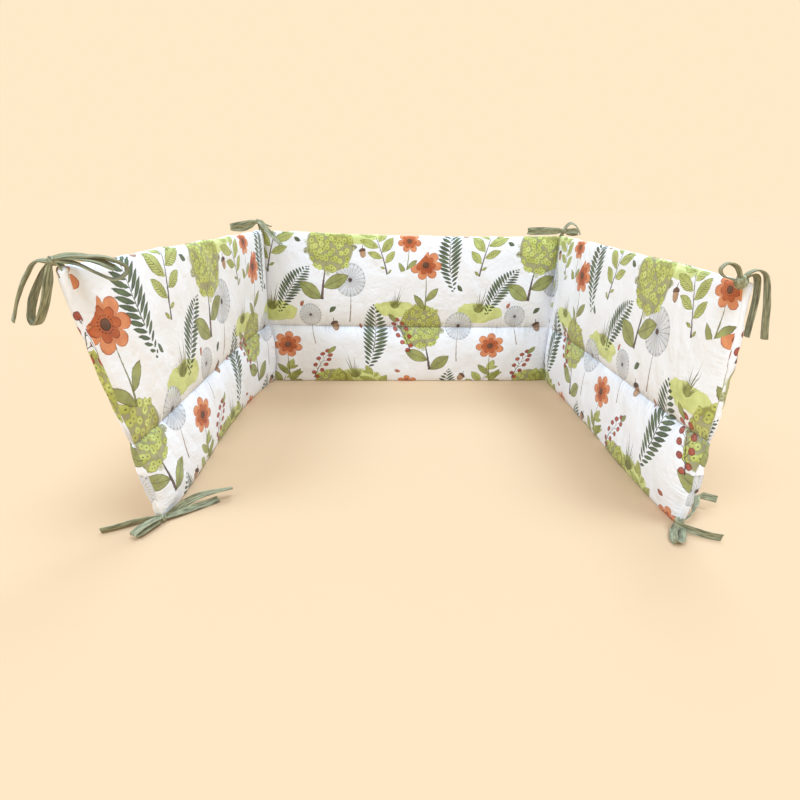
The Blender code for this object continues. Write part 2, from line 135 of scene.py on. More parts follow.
@dataclass(frozen=True)
class Unevenness:
    """Smooth, repeatable humps and hollows over a surface, from -1 to 1."""

    seed: int
    along: float  # usual distance between two humps
    up: float = 1.0
    steps: int = 512
    offset: float = 64.0

    def eased(self, place: Array) -> tuple[Array, Array]:
        """Whole steps up to each place, and how far it is towards the next one, eased at both ends."""
        part = place - np.floor(place)
        return np.floor(place).astype(int) % self.steps, part * part * (3.0 - 2.0 * part)

    def at(self, along: Array, up: Array | float = 0.0) -> Array:
        """Height of the humps at places on the surface.

        Args:
            along: Distances along the surface, in metres.
            up: Distances up the surface, in metres.

        Returns:
            Values from -1 to 1, of the places' shape.
        """
        across, upward = np.broadcast_arrays(np.asarray(along) / self.along, np.asarray(up) / self.up)
        table = np.random.default_rng(self.seed).uniform(-1.0, 1.0, (self.steps, self.steps))
        column, share_x = self.eased(across + self.offset)
        row, share_y = self.eased(upward + self.offset)
        next_column, next_row = (column + 1) % self.steps, (row + 1) % self.steps
        low = table[column, row] * (1.0 - share_x) + table[next_column, row] * share_x
        high = table[column, next_row] * (1.0 - share_x) + table[next_column, next_row] * share_x
        return low * (1.0 - share_y) + high * share_y

    def creases(self, along: Array, up: Array, sharpness: float) -> Array:
        """Narrow creases between broad humps, 1 in a crease and 0 on a hump."""
        return (1.0 - np.abs(self.at(along, up))) ** sharpness


@dataclass
class Skin:
    """A surface in the making: its points, their places on flat cloth, and its faces."""

    points: list[Array] = field(default_factory=list)
    flat: list[Pair] = field(default_factory=list)
    faces: list[tuple[int, ...]] = field(default_factory=list)
    spots: list[Pair] = field(default_factory=list)  # of each corner of each face, on flat cloth
    is_outer: list[bool] = field(default_factory=list)  # for each of these corners

    def add_point(self, place: Array, flat: Pair) -> int:
        """Add one point.

        Args:
            place: Its place.
            flat: Its place on the flat cloth.

        Returns:
            Its number.
        """
        self.points.append(place)
        self.flat.append(flat)
        return len(self.points) - 1

    def add_ring(self, places: Array, flat: Sequence[Pair] | None = None) -> list[int]:
        """Add a ring of points, with their places on the flat cloth or None for those without a map."""
        flat = flat or [(0.0, 0.0)] * len(places)
        return [self.add_point(place, spot) for place, spot in zip(places, flat)]

    def add_face(
        self, corners: Sequence[int], spots: Sequence[Pair] | None = None, outer: bool = False
    ) -> None:
        """Add one face.

        Args:
            corners: Numbers of its points.
            spots: Their places on the flat cloth, where they differ from the points' own.
            outer: Whether it belongs to the strip's outer cloth.
        """
        self.faces.append(tuple(corners))
        self.spots.extend(spots or [self.flat[corner] for corner in corners])
        self.is_outer.extend([outer] * len(corners))

    def add_tube(self, rings: Sequence[Sequence[int]]) -> None:
        """Add the faces between rings that follow each other, without the two ends.

        Args:
            rings: Point numbers of each ring.
        """
        for low, high in zip(rings, rings[1:]):
            for here in range(len(low)):
                there = (here + 1) % len(low)
                self.add_face((low[here], low[there], high[there], high[here]))

    def mesh(self, name: str) -> Mesh:
        """Make the mesh.

        Args:
            name: Its name.

        Returns:
            The mesh, without maps.
        """
        mesh = bpy.data.meshes.new(name)
        mesh.from_pydata(np.array(self.points).tolist(), [], self.faces)
        mesh.update()
        return mesh


def add_map(mesh: Mesh, name: str, spots: Sequence[Pair] | Array) -> None:
    """Give a mesh a map, from the place of each face corner."""
    mesh.uv_layers.new(name=name).data.foreach_set("uv", np.array(spots).ravel())


def turn_outward(mesh: Mesh) -> None:
    """Turn the faces of a closed mesh outward.

    Args:
        mesh: The mesh.
    """
    form = bmesh.new()
    form.from_mesh(mesh)
    bmesh.ops.recalc_face_normals(form, faces=form.faces[:])
    form.to_mesh(mesh)
    form.free()


def smooth_over(mesh: Mesh, angle: float) -> None:
    """Shade a mesh smooth, but for edges sharper than an angle in degrees."""
    mesh.shade_smooth()
    mesh.set_sharp_from_angle(angle=math.radians(angle))


def put_in_scene(name: str, data: ID) -> Object:
    """Put a mesh, light or camera in the scene.

    Args:
        name: Name of its object.
        data: The mesh, light or camera.

    Returns:
        The object.
    """
    thing = bpy.data.objects.new(name, data)
    bpy.context.scene.collection.objects.link(thing)
    return thing


def put_piece(name: str, mesh: Mesh, material: Material) -> Object:
    """Put a piece of the bumper in the scene.

    Args:
        name: Name of the piece.
        mesh: Its mesh.
        material: Its finish.

    Returns:
        The piece, which rides on the bumper's body.
    """
    mesh.materials.append(material)
    piece = put_in_scene(name, mesh)
    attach(piece, BODY)
    return piece


# ---- Node trees, written as plain sums ----


class Reading:
    """A number, vector or colour that a tree's nodes work out at each point."""

    def __init__(self, chart: "NodeChart", socket: NodeSocket) -> None:
        """Keep the chart that the value belongs to and the socket that gives it."""
        self.chart = chart
        self.socket = socket

    def through(self, operation: str, *others: "Amount") -> "Reading":
        """The result of a named sum on this number and others."""
        return self.chart.work(operation, self, *others)

    def __add__(self, other: "Amount") -> "Reading":
        """The sum."""
        return self.through("ADD", other)

    def __sub__(self, other: "Amount") -> "Reading":
        """The difference."""
        return self.through("SUBTRACT", other)

    def __rsub__(self, other: "Amount") -> "Reading":
        """A plain number less this."""
        return self.chart.work("SUBTRACT", other, self)

    def __mul__(self, other: "Amount") -> "Reading":
        """The product."""
        return self.through("MULTIPLY", other)

    def __truediv__(self, other: "Amount") -> "Reading":
        """The quotient."""
        return self.through("DIVIDE", other)

    def __abs__(self) -> "Reading":
        """The size without its sign."""
        return self.through("ABSOLUTE")

    def lower(self, other: "Amount") -> "Reading":
        """The lower of two numbers."""
        return self.through("MINIMUM", other)

    def higher(self, other: "Amount") -> "Reading":
        """The higher of two numbers."""
        return self.through("MAXIMUM", other)

    def share(self, start: float, end: float) -> "Reading":
        """How far this number is from a start to an end, from 0 to 1."""
        return self.chart.reading("MapRange", (self, start, end, 0.0, 1.0), clamp=True)

    __radd__ = __add__
    __rmul__ = __mul__


Amount = Reading | float


class NodeChart:
    """Writes a tree's nodes from plain sums."""

    def __init__(self, tree: NodeTree) -> None:
        """Keep the tree."""
        self.tree = tree

    def fill(self, socket: NodeSocket, value: object) -> None:
        """Link a socket to a Reading, or set it to a plain value.

        Args:
            socket: An input.
            value: A Reading, number or tuple, or None to leave the input as it is.
        """
        if isinstance(value, Reading):
            self.tree.links.new(value.socket, socket)
        elif value is not None:
            is_colour = socket.type == "RGBA" and len(value) == 3
            socket.default_value = (*value, 1.0) if is_colour else value

    def node(self, kind: str, values: Iterable[object] = (), **settings: object) -> Node:
        """Add a node, set it up and fill its inputs in order.

        Args:
            kind: Type name of the node, without its common beginning.
            values: A Reading, number or tuple for each input, or None to leave one as it is.
            **settings: Properties of the node.

        Returns:
            The node.
        """
        node = self.tree.nodes.new(f"ShaderNode{kind}")
        for key, value in settings.items():
            setattr(node, key, value)
        sockets = [socket for socket in node.inputs if socket.enabled]
        for socket, value in zip(sockets, values):
            self.fill(socket, value)
        return node

    def reading(
        self, kind: str, values: Iterable[object] = (), output: int | str = 0, **settings: object
    ) -> Reading:
        """What one output of a new node gives."""
        return Reading(self, self.node(kind, values, **settings).outputs[output])

    def work(self, operation: str, *amounts: Amount) -> Reading:
        """Work a sum on numbers."""
        return self.reading("Math", amounts, operation=operation)

    def vector(self, operation: str, *values: object) -> Reading:
        """Work a sum on vectors that gives a vector."""
        return self.reading("VectorMath", values, "Vector", operation=operation)

    def length(self, vector: Reading) -> Reading:
        """Length of a vector."""
        return self.reading("VectorMath", (vector,), "Value", operation="LENGTH")

    def parts(self, vector: Reading) -> tuple[Reading, Reading, Reading]:
        """The three parts of a vector."""
        node = self.node("SeparateXYZ", (vector,))
        return tuple(Reading(self, output) for output in node.outputs)

    def joined(self, first: Amount, second: Amount) -> Reading:
        """A flat vector from two numbers."""
        return self.reading("CombineXYZ", (first, second, 0.0))

    def reach(self, first: Amount, second: Amount) -> Reading:
        """Length of a flat vector."""
        return self.length(self.joined(first, second))

    def blend(self, share: Amount, under: object, over: object) -> Reading:
        """A colour between two others."""
        return self.reading("Mix", (share, under, over), 2, data_type="RGBA")

    def choose(self, share: Amount, first: Reading, second: Reading) -> Reading:
        """The first vector where the share is 0, and the second where it is 1."""
        return self.reading("Mix", (share, first, second), 1, data_type="VECTOR")

    def noise(self, place: Reading, scale: float, detail: float = 2.0) -> Reading:
        """Soft noise from 0 to 1, with so many lumps in a metre."""
        return self.reading("TexNoise", (place, scale, detail), "Fac")

    def chance(self, number: Amount) -> Reading:
        """A random value from 0 to 1 for each whole number."""
        return self.reading("TexWhiteNoise", (number,), noise_dimensions="1D")

    def map(self, name: str) -> Reading:
        """A vector from one of the mesh's maps."""
        return self.reading("UVMap", uv_map=name)

    def varied(self, place: Reading, scale: float, least: float, more: float) -> Reading:
        """Soft noise from a least value to that much more."""
        return self.noise(place, scale) * more + least

    def weave(self, across: Reading, along: Reading, pitch: float) -> Reading:
        """Threads that go over and under each other, from -1 to 1."""
        turns = math.tau / pitch
        return (across * turns).through("SINE") * (along * turns).through("SINE")


class Finish(NodeChart):
    """The nodes of one material, and the shader that they lead to."""

    def __init__(self, name: str) -> None:
        """Start a material.

        Args:
            name: Its name.
        """
        self.material = bpy.data.materials.new(name)
        self.material.use_nodes = True
        super().__init__(self.material.node_tree)
        self.shader = self.tree.nodes["Principled BSDF"]

    def place(self) -> Reading:
        """Place in the object's own frame, in metres."""
        return self.reading("TexCoord", output="Object")

    def fill_by_name(self, node: Node, **values: object) -> None:
        """Fill inputs of a node that are named like the keys, with _ for a blank."""
        for key, value in values.items():
            self.fill(node.inputs[key.replace("_", " ")], value)

    def bump(self, height: Reading, depth: float, strength: float) -> Reading:
        """Raise the surface a little.

        Args:
            height: What is raised, as a share of the depth.
            depth: Height of a full step.
            strength: How much of it shows.

        Returns:
            The surface's direction.
        """
        node = self.node("Bump")
        self.fill_by_name(node, Height=height, Distance=depth, Strength=strength)
        return Reading(self, node.outputs["Normal"])

    def shade(self, **values: object) -> Material:
        """Fill the shader's inputs, and give the finished material."""
        self.fill_by_name(self.shader, **values)
        return self.material


def toned(colour: Colour, share: float) -> Colour:
    """A colour at a share of its brightness."""
    return tuple(share * part for part in colour)


# ---- The printed design ----


@dataclass(frozen=True)
class Wash:
    """A colour of the print, as a thin wash that is darker where it pools."""

    light: Colour
    deep: Colour
    pooling: float = 0.35  # how much darker its rim is
    strength: float = 0.95
    soft: float = 0.35 * MM  # half the width of its edge
    ink: float = 0.0  # half the width of a drawn outline


INK: Colour = (0.040, 0.025, 0.020)
YELLOW_GREEN = Wash((0.60, 0.66, 0.20), (0.31, 0.33, 0.065), ink=0.16 * MM)
FLORET_GREEN = Wash((0.58, 0.62, 0.18), (0.36, 0.37, 0.075), pooling=0.3, ink=0.14 * MM)
FLORET_SHADE = Wash((0.33, 0.32, 0.075), (0.17, 0.15, 0.035), pooling=0.1, strength=0.85, soft=1.2 * MM)
OLIVE = Wash((0.36, 0.39, 0.11), (0.17, 0.17, 0.04), ink=0.12 * MM)
PALE_GREEN = Wash((0.70, 0.76, 0.27), (0.46, 0.52, 0.11), pooling=0.22, strength=0.92, soft=1.0 * MM)
FERN_GREEN = Wash((0.10, 0.15, 0.045), (0.025, 0.045, 0.015))
RUST = Wash((0.58, 0.155, 0.05), (0.33, 0.065, 0.025), pooling=0.5, ink=0.16 * MM)
RUST_LIGHT = Wash((0.76, 0.29, 0.10), (0.50, 0.125, 0.04), pooling=0.5, ink=0.20 * MM)
BERRY = Wash((0.50, 0.10, 0.055), (0.24, 0.035, 0.02), pooling=0.6, ink=0.14 * MM)
BARK = Wash((0.17, 0.085, 0.05), (0.045, 0.025, 0.018))
TAN = Wash((0.50, 0.30, 0.15), (0.28, 0.14, 0.06), pooling=0.5, ink=0.14 * MM)
SOFT_GREY = Wash((0.73, 0.75, 0.775), (0.50, 0.525, 0.56), pooling=0.5, strength=0.85, soft=0.6 * MM)
LINE_GREY = Wash((0.36, 0.38, 0.41), (0.20, 0.215, 0.24), strength=0.8, soft=0.2 * MM)


@dataclass(frozen=True)
class Spot:
    """One place of a motif in the repeat of the print. Distances are in cm."""

    across: float
    up: float
    turn: float = 0.0  # degrees
    size: float = 1.0
    mirrored: bool = False


@dataclass(frozen=True)
class Brushwork:
    """How unevenly the washes lie. Scales are lumps in a metre."""

    cloud_scale: float = 48.0
    cloud_detail: float = 5.0
    cloud_range: Pair = (0.34, 0.80)
    pool_width: float = 1.8 * MM
    pressure_scale: float = 190.0
    pressure_range: Pair = (0.40, 0.62)
    shake_scale: float = 260.0
    shake: float = 1.6 * MM
    ink_inset: float = 2.0  # from the wash's edge, in its own half widths
    ink_core: float = 0.4
    white_scale: float = 9.0
    white_share: float = 0.985


class Canvas:
    """White cloth that washes are laid on, one over another."""

    def __init__(
        self, chart: NodeChart, place: Reading, white: Colour, repeat: Pair, brush: Brushwork
    ) -> None:
        """Prepare the hand-made wobble of the edges and the clouding of the colours.

        Args:
            chart: The material's nodes.
            place: The place on the flat cloth, in metres.
            white: Colour of the bare cloth.
            repeat: Width and height of the print's repeat.
            brush: How the washes lie.
        """
        self.chart = chart
        self.repeat = repeat
        self.brush = brush
        self.clouding = chart.noise(place, brush.cloud_scale, brush.cloud_detail)
        self.pressure = chart.noise(place, brush.pressure_scale).share(*brush.pressure_range)
        shaken = chart.reading("TexNoise", (place, brush.shake_scale, 1.0), "Color")
        shaken = chart.vector("SUBTRACT", shaken, (0.5, 0.5, 0.5))
        shaken = chart.vector("MULTIPLY", shaken, (brush.shake, brush.shake, 0.0))
        self.place = chart.vector("ADD", place, shaken)
        shade = chart.noise(place, brush.white_scale)
        self.colour = chart.blend(shade, white, toned(white, brush.white_share))

    def nearest(self, spots: Sequence[Spot]) -> tuple[Reading, Reading]:
        """Place in the motif's own frame, from the nearest of its spots.

        Args:
            spots: The places of one motif.

        Returns:
            Distances across and up from the motif's centre, in metres.
        """
        chart = self.chart
        half_repeat = (0.5 * self.repeat[0], 0.5 * self.repeat[1], 1.0)
        best, best_reach = None, None
        for spot in spots:
            moved = chart.vector("SUBTRACT", self.place, (spot.across * CM, spot.up * CM, 0.0))
            wrapped = chart.vector("WRAP", moved, half_repeat, tuple(-half for half in half_repeat))
            flip = -1.0 if spot.mirrored else 1.0
            turn = (0.0, 0.0, flip * math.radians(-spot.turn))
            scale = (flip / spot.size, 1.0 / spot.size, 1.0)
            values = (wrapped, (0.0, 0.0, 0.0), turn, scale)
            local = chart.reading("Mapping", values, vector_type="POINT")
            reach = chart.length(local)
            if best is None:
                best, best_reach = local, reach
            else:
                is_closer = reach.through("LESS_THAN", best_reach)
                best, best_reach = chart.choose(is_closer, best, local), reach.lower(best_reach)
        return chart.parts(best)[:2]

    def lay(self, distance: Reading, wash: Wash) -> None:
        """Lay a wash where a distance is below 0.

        Args:
            distance: Distance outside the shape's edge, below 0 inside.
            wash: The colour.
        """
        chart = self.chart
        inside = distance.share(wash.soft, -wash.soft)
        rim = distance.share(-self.brush.pool_width, 0.0)
        tone = (self.clouding + rim * wash.pooling).share(*self.brush.cloud_range)
        paint = chart.blend(tone, wash.light, wash.deep)
        self.colour = chart.blend(inside * wash.strength, self.colour, paint)
        if wash.ink > 0.0:
            inset, core = self.brush.ink_inset * wash.ink, self.brush.ink_core * wash.ink
            line = abs(distance + inset).share(inset, core)
            self.colour = chart.blend(line * self.pressure, self.colour, INK)


@dataclass(frozen=True)
class Motif(ABC):
    """Something that the print shows at several spots of its repeat."""

    spots: tuple[Spot, ...]

    @abstractmethod
    def draw(self, canvas: Canvas) -> None:
        """Lay the motif on the cloth.

        Args:
            canvas: The cloth.
        """


@dataclass(frozen=True)
class ShootPlace:
    """Where a point is beside a stem and its nearest shoot."""

    off: Reading  # distance off the stem, below 0 to its left
    along: Reading  # distance along the shoot
    across: Reading  # and across it
    share: Reading  # of the stem's height at which the shoot leaves


@dataclass(frozen=True)
class Stem:
    """A bent stem that narrows towards its top, with shoots that leave it to its left and right by turns."""

    base: float
    top: float
    bend: float
    half_width: float
    spacing: float = 0.0  # between two shoots of one side, or 0 where there are none
    angle: float = 0.0  # of the shoots above level, in degrees

    def middle_at(self, height: float) -> float:
        """How far the bend takes the stem's middle aside at a height above the motif's centre."""
        return (height - self.base) ** 2 * self.bend

    def off(self, across: Reading, up: Reading) -> Reading:
        """Distance off the stem's middle, below 0 to its left."""
        raised = up - self.base
        return across - raised * raised * self.bend

    def shoot(self, across: Reading, up: Reading) -> ShootPlace:
        """Place a point on its nearest shoot.

        Args:
            across: Distance across from the motif's centre.
            up: Distance up from it.

        Returns:
            The point's place beside the stem and the shoot.
        """
        raised = up - self.base
        off = self.off(across, up)
        is_left = off.through("LESS_THAN", 0.0)
        side = abs(off)
        slope = math.radians(self.angle)
        start = raised - side * math.tan(slope) + is_left * (0.5 * self.spacing)
        middle = ((start / self.spacing).through("FLOOR") + 0.5) * self.spacing
        aside = (start - middle) * math.cos(slope)
        along = side * (1.0 / math.cos(slope)) + aside * math.tan(slope)
        return ShootPlace(off, along, aside, middle / (self.top - self.base))

    def paint(self, canvas: Canvas, off: Reading, up: Reading, wash: Wash) -> None:
        """Lay the stem on the cloth.

        Args:
            canvas: The cloth.
            off: Distance off the stem's middle.
            up: Distance up from the motif's centre.
            wash: The stem's colour.
        """
        half_width = up.share(self.top, self.base) * self.half_width
        beyond = (up - self.top).higher(self.base - up)
        canvas.lay((abs(off) - half_width).higher(beyond), wash)


def leaf(along: Reading, across: Reading, length: Amount, half_width: Amount) -> Reading:
    """Distance outside a pointed leaf that grows along an axis from 0."""
    part = along / length
    return abs(across) - part * (1.0 - part) * half_width * 4.0


def midrib(across: Reading, outside: Reading, half_width: float, margin: float) -> Reading:
    """Distance outside a leaf's middle vein, which stops a margin short of its edge."""
    return (abs(across) - half_width).higher(outside + margin)


@dataclass(frozen=True)
class Growth:
    """How large a stem's shoots are: full at one share of its height, and nothing a spread away from it."""

    peak: float
    spread: float
    least: float = 0.12  # size below which nothing is carried
    steepness: float = 0.05  # metres outside, for a whole size too little

    def size(self, shoot: ShootPlace) -> Reading:
        """Size of the nearest shoot, from 0 to 1."""
        away = (shoot.share - self.peak) / self.spread
        return (1.0 - away * away).higher(0.0)

    def only_grown(self, distance: Reading, size: Reading) -> Reading:
        """The distance, kept outside where the shoot is too small to carry anything."""
        return distance.higher((self.least - size) * self.steepness)


@dataclass(frozen=True)
class Foliage:
    """Pointed leaves, one on each shoot of a stem."""

    growth: Growth
    length: float
    half_width: float
    stalk: float = 0.0
    least_half_width: float = 0.0

    def outside(self, shoot: ShootPlace) -> Reading:
        """Distance outside the nearest leaf.

        Args:
            shoot: The point's place beside its nearest shoot.

        Returns:
            The distance, below 0 inside.
        """
        size = self.growth.size(shoot)
        half_width = size * self.half_width + self.least_half_width
        blade = leaf(shoot.along - self.stalk, shoot.across, size * self.length, half_width)
        return self.growth.only_grown(blade, size)


@dataclass(frozen=True)
class TipLeaf:
    """A leaf that grows on from the top of a stem."""

    overlap: float
    length: float
    half_width: float

    def outside(self, stem: Stem, shoot: ShootPlace, up: Reading) -> Reading:
        """Distance outside the leaf."""
        return leaf(up - (stem.top - self.overlap), shoot.off, self.length, self.half_width)


@dataclass(frozen=True)
class LeafyBranch(Motif):
    """A bent brown branch with broad yellow-green leaves."""

    stem: Stem = Stem(base=-0.060, top=0.050, bend=1.3, half_width=1.9 * MM, spacing=0.0245, angle=34.0)
    foliage: Foliage = Foliage(Growth(0.58, 0.56), length=0.046, half_width=0.0098, stalk=2.0 * MM)
    tip: TipLeaf = TipLeaf(overlap=0.004, length=0.030, half_width=0.0085)
    rib_half_width: float = 0.28 * MM
    vein_slope: float = 1.3
    vein_spacing: float = 2.2 * MM
    vein_half_width: float = 0.5 * MM
    vein_margin: float = 0.8 * MM
    rib_margin: float = 0.5 * MM

    def draw(self, canvas: Canvas) -> None:
        """Lay the branch on the cloth.

        Args:
            canvas: The cloth.
        """
        across, up = canvas.nearest(self.spots)
        shoot = self.stem.shoot(across, up)
        leaves = self.foliage.outside(shoot).lower(self.tip.outside(self.stem, shoot, up))
        canvas.lay(leaves, YELLOW_GREEN)
        rib = abs(shoot.across)
        wave = (shoot.along - rib * self.vein_slope).through("PINGPONG", self.vein_spacing)
        veins = (self.vein_spacing - self.vein_half_width - wave).higher(leaves + self.vein_margin)
        canvas.lay((rib - self.rib_half_width).lower(veins).higher(leaves + self.rib_margin), OLIVE)
        self.stem.paint(canvas, shoot.off, up, BARK)


@dataclass(frozen=True)
class MopheadBloom(Motif):
    """A round yellow-green flower head of many florets, on a brown stem with broad leaves."""

    stem: Stem = Stem(base=-0.072, top=0.010, bend=1.0, half_width=3.0 * MM, spacing=0.044, angle=30.0)
    foliage: Foliage = Foliage(Growth(0.34, 0.42), length=0.056, half_width=0.0135, stalk=1.0 * MM)
    radius: float = 0.048
    height: float = 0.026  # of the head's middle
    floret: float = 0.0105
    shade_share: float = 0.95  # of the radius
    floret_share: float = 0.52  # of a floret's size
    eye_share: float = 0.11
    petal_rim: float = 0.9 * MM
    pale_share: float = 0.45  # of the florets that have a pale middle
    pale_steepness: float = 0.01

    def draw(self, canvas: Canvas) -> None:
        """Lay the flower head on the cloth.

        Args:
            canvas: The cloth.
        """
        chart = canvas.chart
        across, up = canvas.nearest(self.spots)
        shoot = self.stem.shoot(across, up)
        leaves = self.foliage.outside(shoot)
        canvas.lay(leaves, OLIVE)
        canvas.lay(midrib(shoot.across, leaves, half_width=0.3 * MM, margin=0.7 * MM), FERN_GREEN)
        self.stem.paint(canvas, shoot.off, up, BARK)
        head = chart.joined(across - self.stem.middle_at(self.height), up - self.height)
        cells = chart.node("TexVoronoi", (head, 1.0 / self.floret), voronoi_dimensions="2D")
        near, tint, middle = (Reading(chart, cells.outputs[key]) for key in ("Distance", "Color", "Position"))
        chance = chart.parts(tint)[0]
        beyond = chart.length(middle) - self.radius
        canvas.lay(chart.length(head) - self.shade_share * self.radius, FLORET_SHADE)
        floret = ((near - self.floret_share) * self.floret).higher(beyond)
        canvas.lay(floret, FLORET_GREEN)
        pale = (floret + self.petal_rim).higher((chance - self.pale_share) * self.pale_steepness)
        canvas.lay(pale, PALE_GREEN)
        canvas.lay(((near - self.eye_share) * self.floret).higher(beyond), OLIVE)


@dataclass(frozen=True)
class FernFrond(Motif):
    """A dark fern frond with many narrow leaflets, broadest near its foot."""

    stem: Stem = Stem(base=-0.042, top=0.046, bend=2.4, half_width=0.9 * MM, spacing=0.0074, angle=30.0)
    foliage: Foliage = Foliage(Growth(0.28, 0.74), length=0.029, half_width=0.0016, least_half_width=0.0014)

    def draw(self, canvas: Canvas) -> None:
        """Lay the frond on the cloth.

        Args:
            canvas: The cloth.
        """
        across, up = canvas.nearest(self.spots)
        shoot = self.stem.shoot(across, up)
        canvas.lay(self.foliage.outside(shoot), FERN_GREEN)
        self.stem.paint(canvas, shoot.off, up, FERN_GREEN)


@dataclass(frozen=True)
class Bloom(Motif):
    """A rust-orange flower on a bent stem with a pair of leaves."""

    stem: Stem = Stem(base=-0.058, top=0.024, bend=-1.1, half_width=1.7 * MM, spacing=0.030, angle=48.0)
    foliage: Foliage = Foliage(Growth(0.18, 0.30), length=0.036, half_width=0.0065)
    petals: int = 7
    radius: float = 0.031
    height: float = 0.022  # of the flower's middle
    flatness: float = 1.18
    lobe_depth: float = 0.40  # of the radius
    lobe_power: float = 0.55
    inner_share: float = 0.62
    gap_half_width: float = 0.35 * MM
    gap_share: float = 0.96
    eye_radius: float = 6.5 * MM
    beads: int = 16
    bead_ring: float = 9.0 * MM
    bead_radius: float = 0.8 * MM

    def draw(self, canvas: Canvas) -> None:
        """Lay the flower on the cloth.

        Args:
            canvas: The cloth.
        """
        chart = canvas.chart
        across, up = canvas.nearest(self.spots)
        shoot = self.stem.shoot(across, up)
        canvas.lay(self.foliage.outside(shoot), OLIVE)
        self.stem.paint(canvas, shoot.off, up, OLIVE)
        head_across = across - self.stem.middle_at(self.height)
        head_up = (up - self.height) * self.flatness
        reach = chart.reach(head_across, head_up)
        angle = head_up.through("ARCTAN2", head_across)
        lobe = abs((angle * (0.5 * self.petals)).through("COSINE"))
        edge = lobe.through("POWER", self.lobe_power) * (self.lobe_depth * self.radius)
        edge = edge + (1.0 - self.lobe_depth) * self.radius
        canvas.lay(reach - edge, RUST_LIGHT)
        canvas.lay(reach - edge * self.inner_share, RUST)
        canvas.lay((lobe * reach - self.gap_half_width).higher(reach - edge * self.gap_share), BERRY)
        canvas.lay(reach - self.eye_radius, BARK)
        bead_turn = math.tau / self.beads
        aside = (angle * (1.0 / bead_turn)).through("PINGPONG", 0.5) * reach * bead_turn
        canvas.lay(chart.reach(aside, reach - self.bead_ring) - self.bead_radius, BARK)


@dataclass(frozen=True)
class SeedHead(Motif):
    """A round grey seed head of fine rays on a thin stalk."""

    stem: Stem = Stem(base=-0.050, top=0.018, bend=1.6, half_width=1.0 * MM)
    rays: int = 22
    radius: float = 0.026
    height: float = 0.018
    ray_share: float = 0.93  # of the radius
    ray_half_width: float = 0.28 * MM
    tuft_radius: float = 1.1 * MM
    eye_radius: float = 3.2 * MM

    def draw(self, canvas: Canvas) -> None:
        """Lay the seed head on the cloth.

        Args:
            canvas: The cloth.
        """
        chart = canvas.chart
        across, up = canvas.nearest(self.spots)
        self.stem.paint(canvas, self.stem.off(across, up), up, TAN)
        head_across = across - self.stem.middle_at(self.height)
        head_up = up - self.height
        reach = chart.reach(head_across, head_up)
        ray_turn = math.tau / self.rays
        angle = head_up.through("ARCTAN2", head_across) * (1.0 / ray_turn)
        aside = angle.through("PINGPONG", 0.5) * reach * ray_turn
        canvas.lay(reach - self.radius, SOFT_GREY)
        beyond = reach - self.ray_share * self.radius
        canvas.lay((aside - self.ray_half_width).higher(beyond), LINE_GREY)
        canvas.lay(chart.reach(aside, beyond) - self.tuft_radius, LINE_GREY)
        canvas.lay(reach - self.eye_radius, BARK)


@dataclass(frozen=True)
class GrassTuft(Motif):
    """Blades of grass that fan out of a pale green wash."""

    blades: int = 46
    foot: float = -0.016
    mound_radius: float = 0.041
    mound_flatness: float = 2.6
    mound_wobble: float = 0.030
    outermost: float = 8.5
    upright_blades: Pair = (9.0, 2.0)  # from the shortest to the full ones
    growth: Pair = (0.004, 0.042)  # least length, and what a full one has more
    shortest: float = 0.45  # by chance, as a share
    blade_width: float = 1.5 * MM

    def draw(self, canvas: Canvas) -> None:
        """Lay the tuft on the cloth.

        Args:
            canvas: The cloth.
        """
        chart = canvas.chart
        across, up = canvas.nearest(self.spots)
        raised = up - self.foot
        mound = chart.reach(across, raised * self.mound_flatness) - self.mound_radius
        canvas.lay(mound + (canvas.clouding - 0.5) * self.mound_wobble, PALE_GREEN)
        reach = chart.reach(across, raised)
        blade_turn = math.tau / self.blades
        turn = across.through("ARCTAN2", raised) * (1.0 / blade_turn)
        number = turn.through("ROUND")
        aside = abs(turn - number) * reach * blade_turn
        upright = abs(number).share(*self.upright_blades)
        by_chance = chart.chance(number) * (1.0 - self.shortest) + self.shortest
        length = by_chance * (upright * self.growth[1] + self.growth[0])
        blade = aside - (1.0 - reach / length) * self.blade_width
        canvas.lay(blade.higher(abs(number) - self.outermost), OLIVE)


@dataclass(frozen=True)
class BerryTwig(Motif):
    """A brown twig with round berries on short stalks."""

    stem: Stem = Stem(base=-0.034, top=0.034, bend=-3.0, half_width=1.1 * MM, spacing=0.0145, angle=44.0)
    growth: Growth = Growth(0.55, 0.60)
    stalk: float = 0.015
    stalk_half_width: float = 0.4 * MM
    berry: float = 0.0047
    glint: float = 1.1 * MM
    glint_place: Pair = (-1.2 * MM, 1.4 * MM)
    tip: TipLeaf = TipLeaf(overlap=0.003, length=0.022, half_width=0.0055)

    def draw(self, canvas: Canvas) -> None:
        """Lay the twig on the cloth.

        Args:
            canvas: The cloth.
        """
        chart = canvas.chart
        across, up = canvas.nearest(self.spots)
        shoot = self.stem.shoot(across, up)
        size = self.growth.size(shoot)
        beyond = shoot.along - size * self.stalk
        stalk = (abs(shoot.across) - self.stalk_half_width).higher(beyond)
        canvas.lay(self.growth.only_grown(stalk, size), BARK)
        self.stem.paint(canvas, shoot.off, up, BARK)
        ball = chart.reach(beyond, shoot.across) - self.berry
        canvas.lay(self.growth.only_grown(ball, size), BERRY)
        glint = chart.reach(beyond - self.glint_place[0], shoot.across - self.glint_place[1]) - self.glint
        canvas.lay(self.growth.only_grown(glint, size), RUST_LIGHT)
        canvas.lay(self.tip.outside(self.stem, shoot, up), OLIVE)


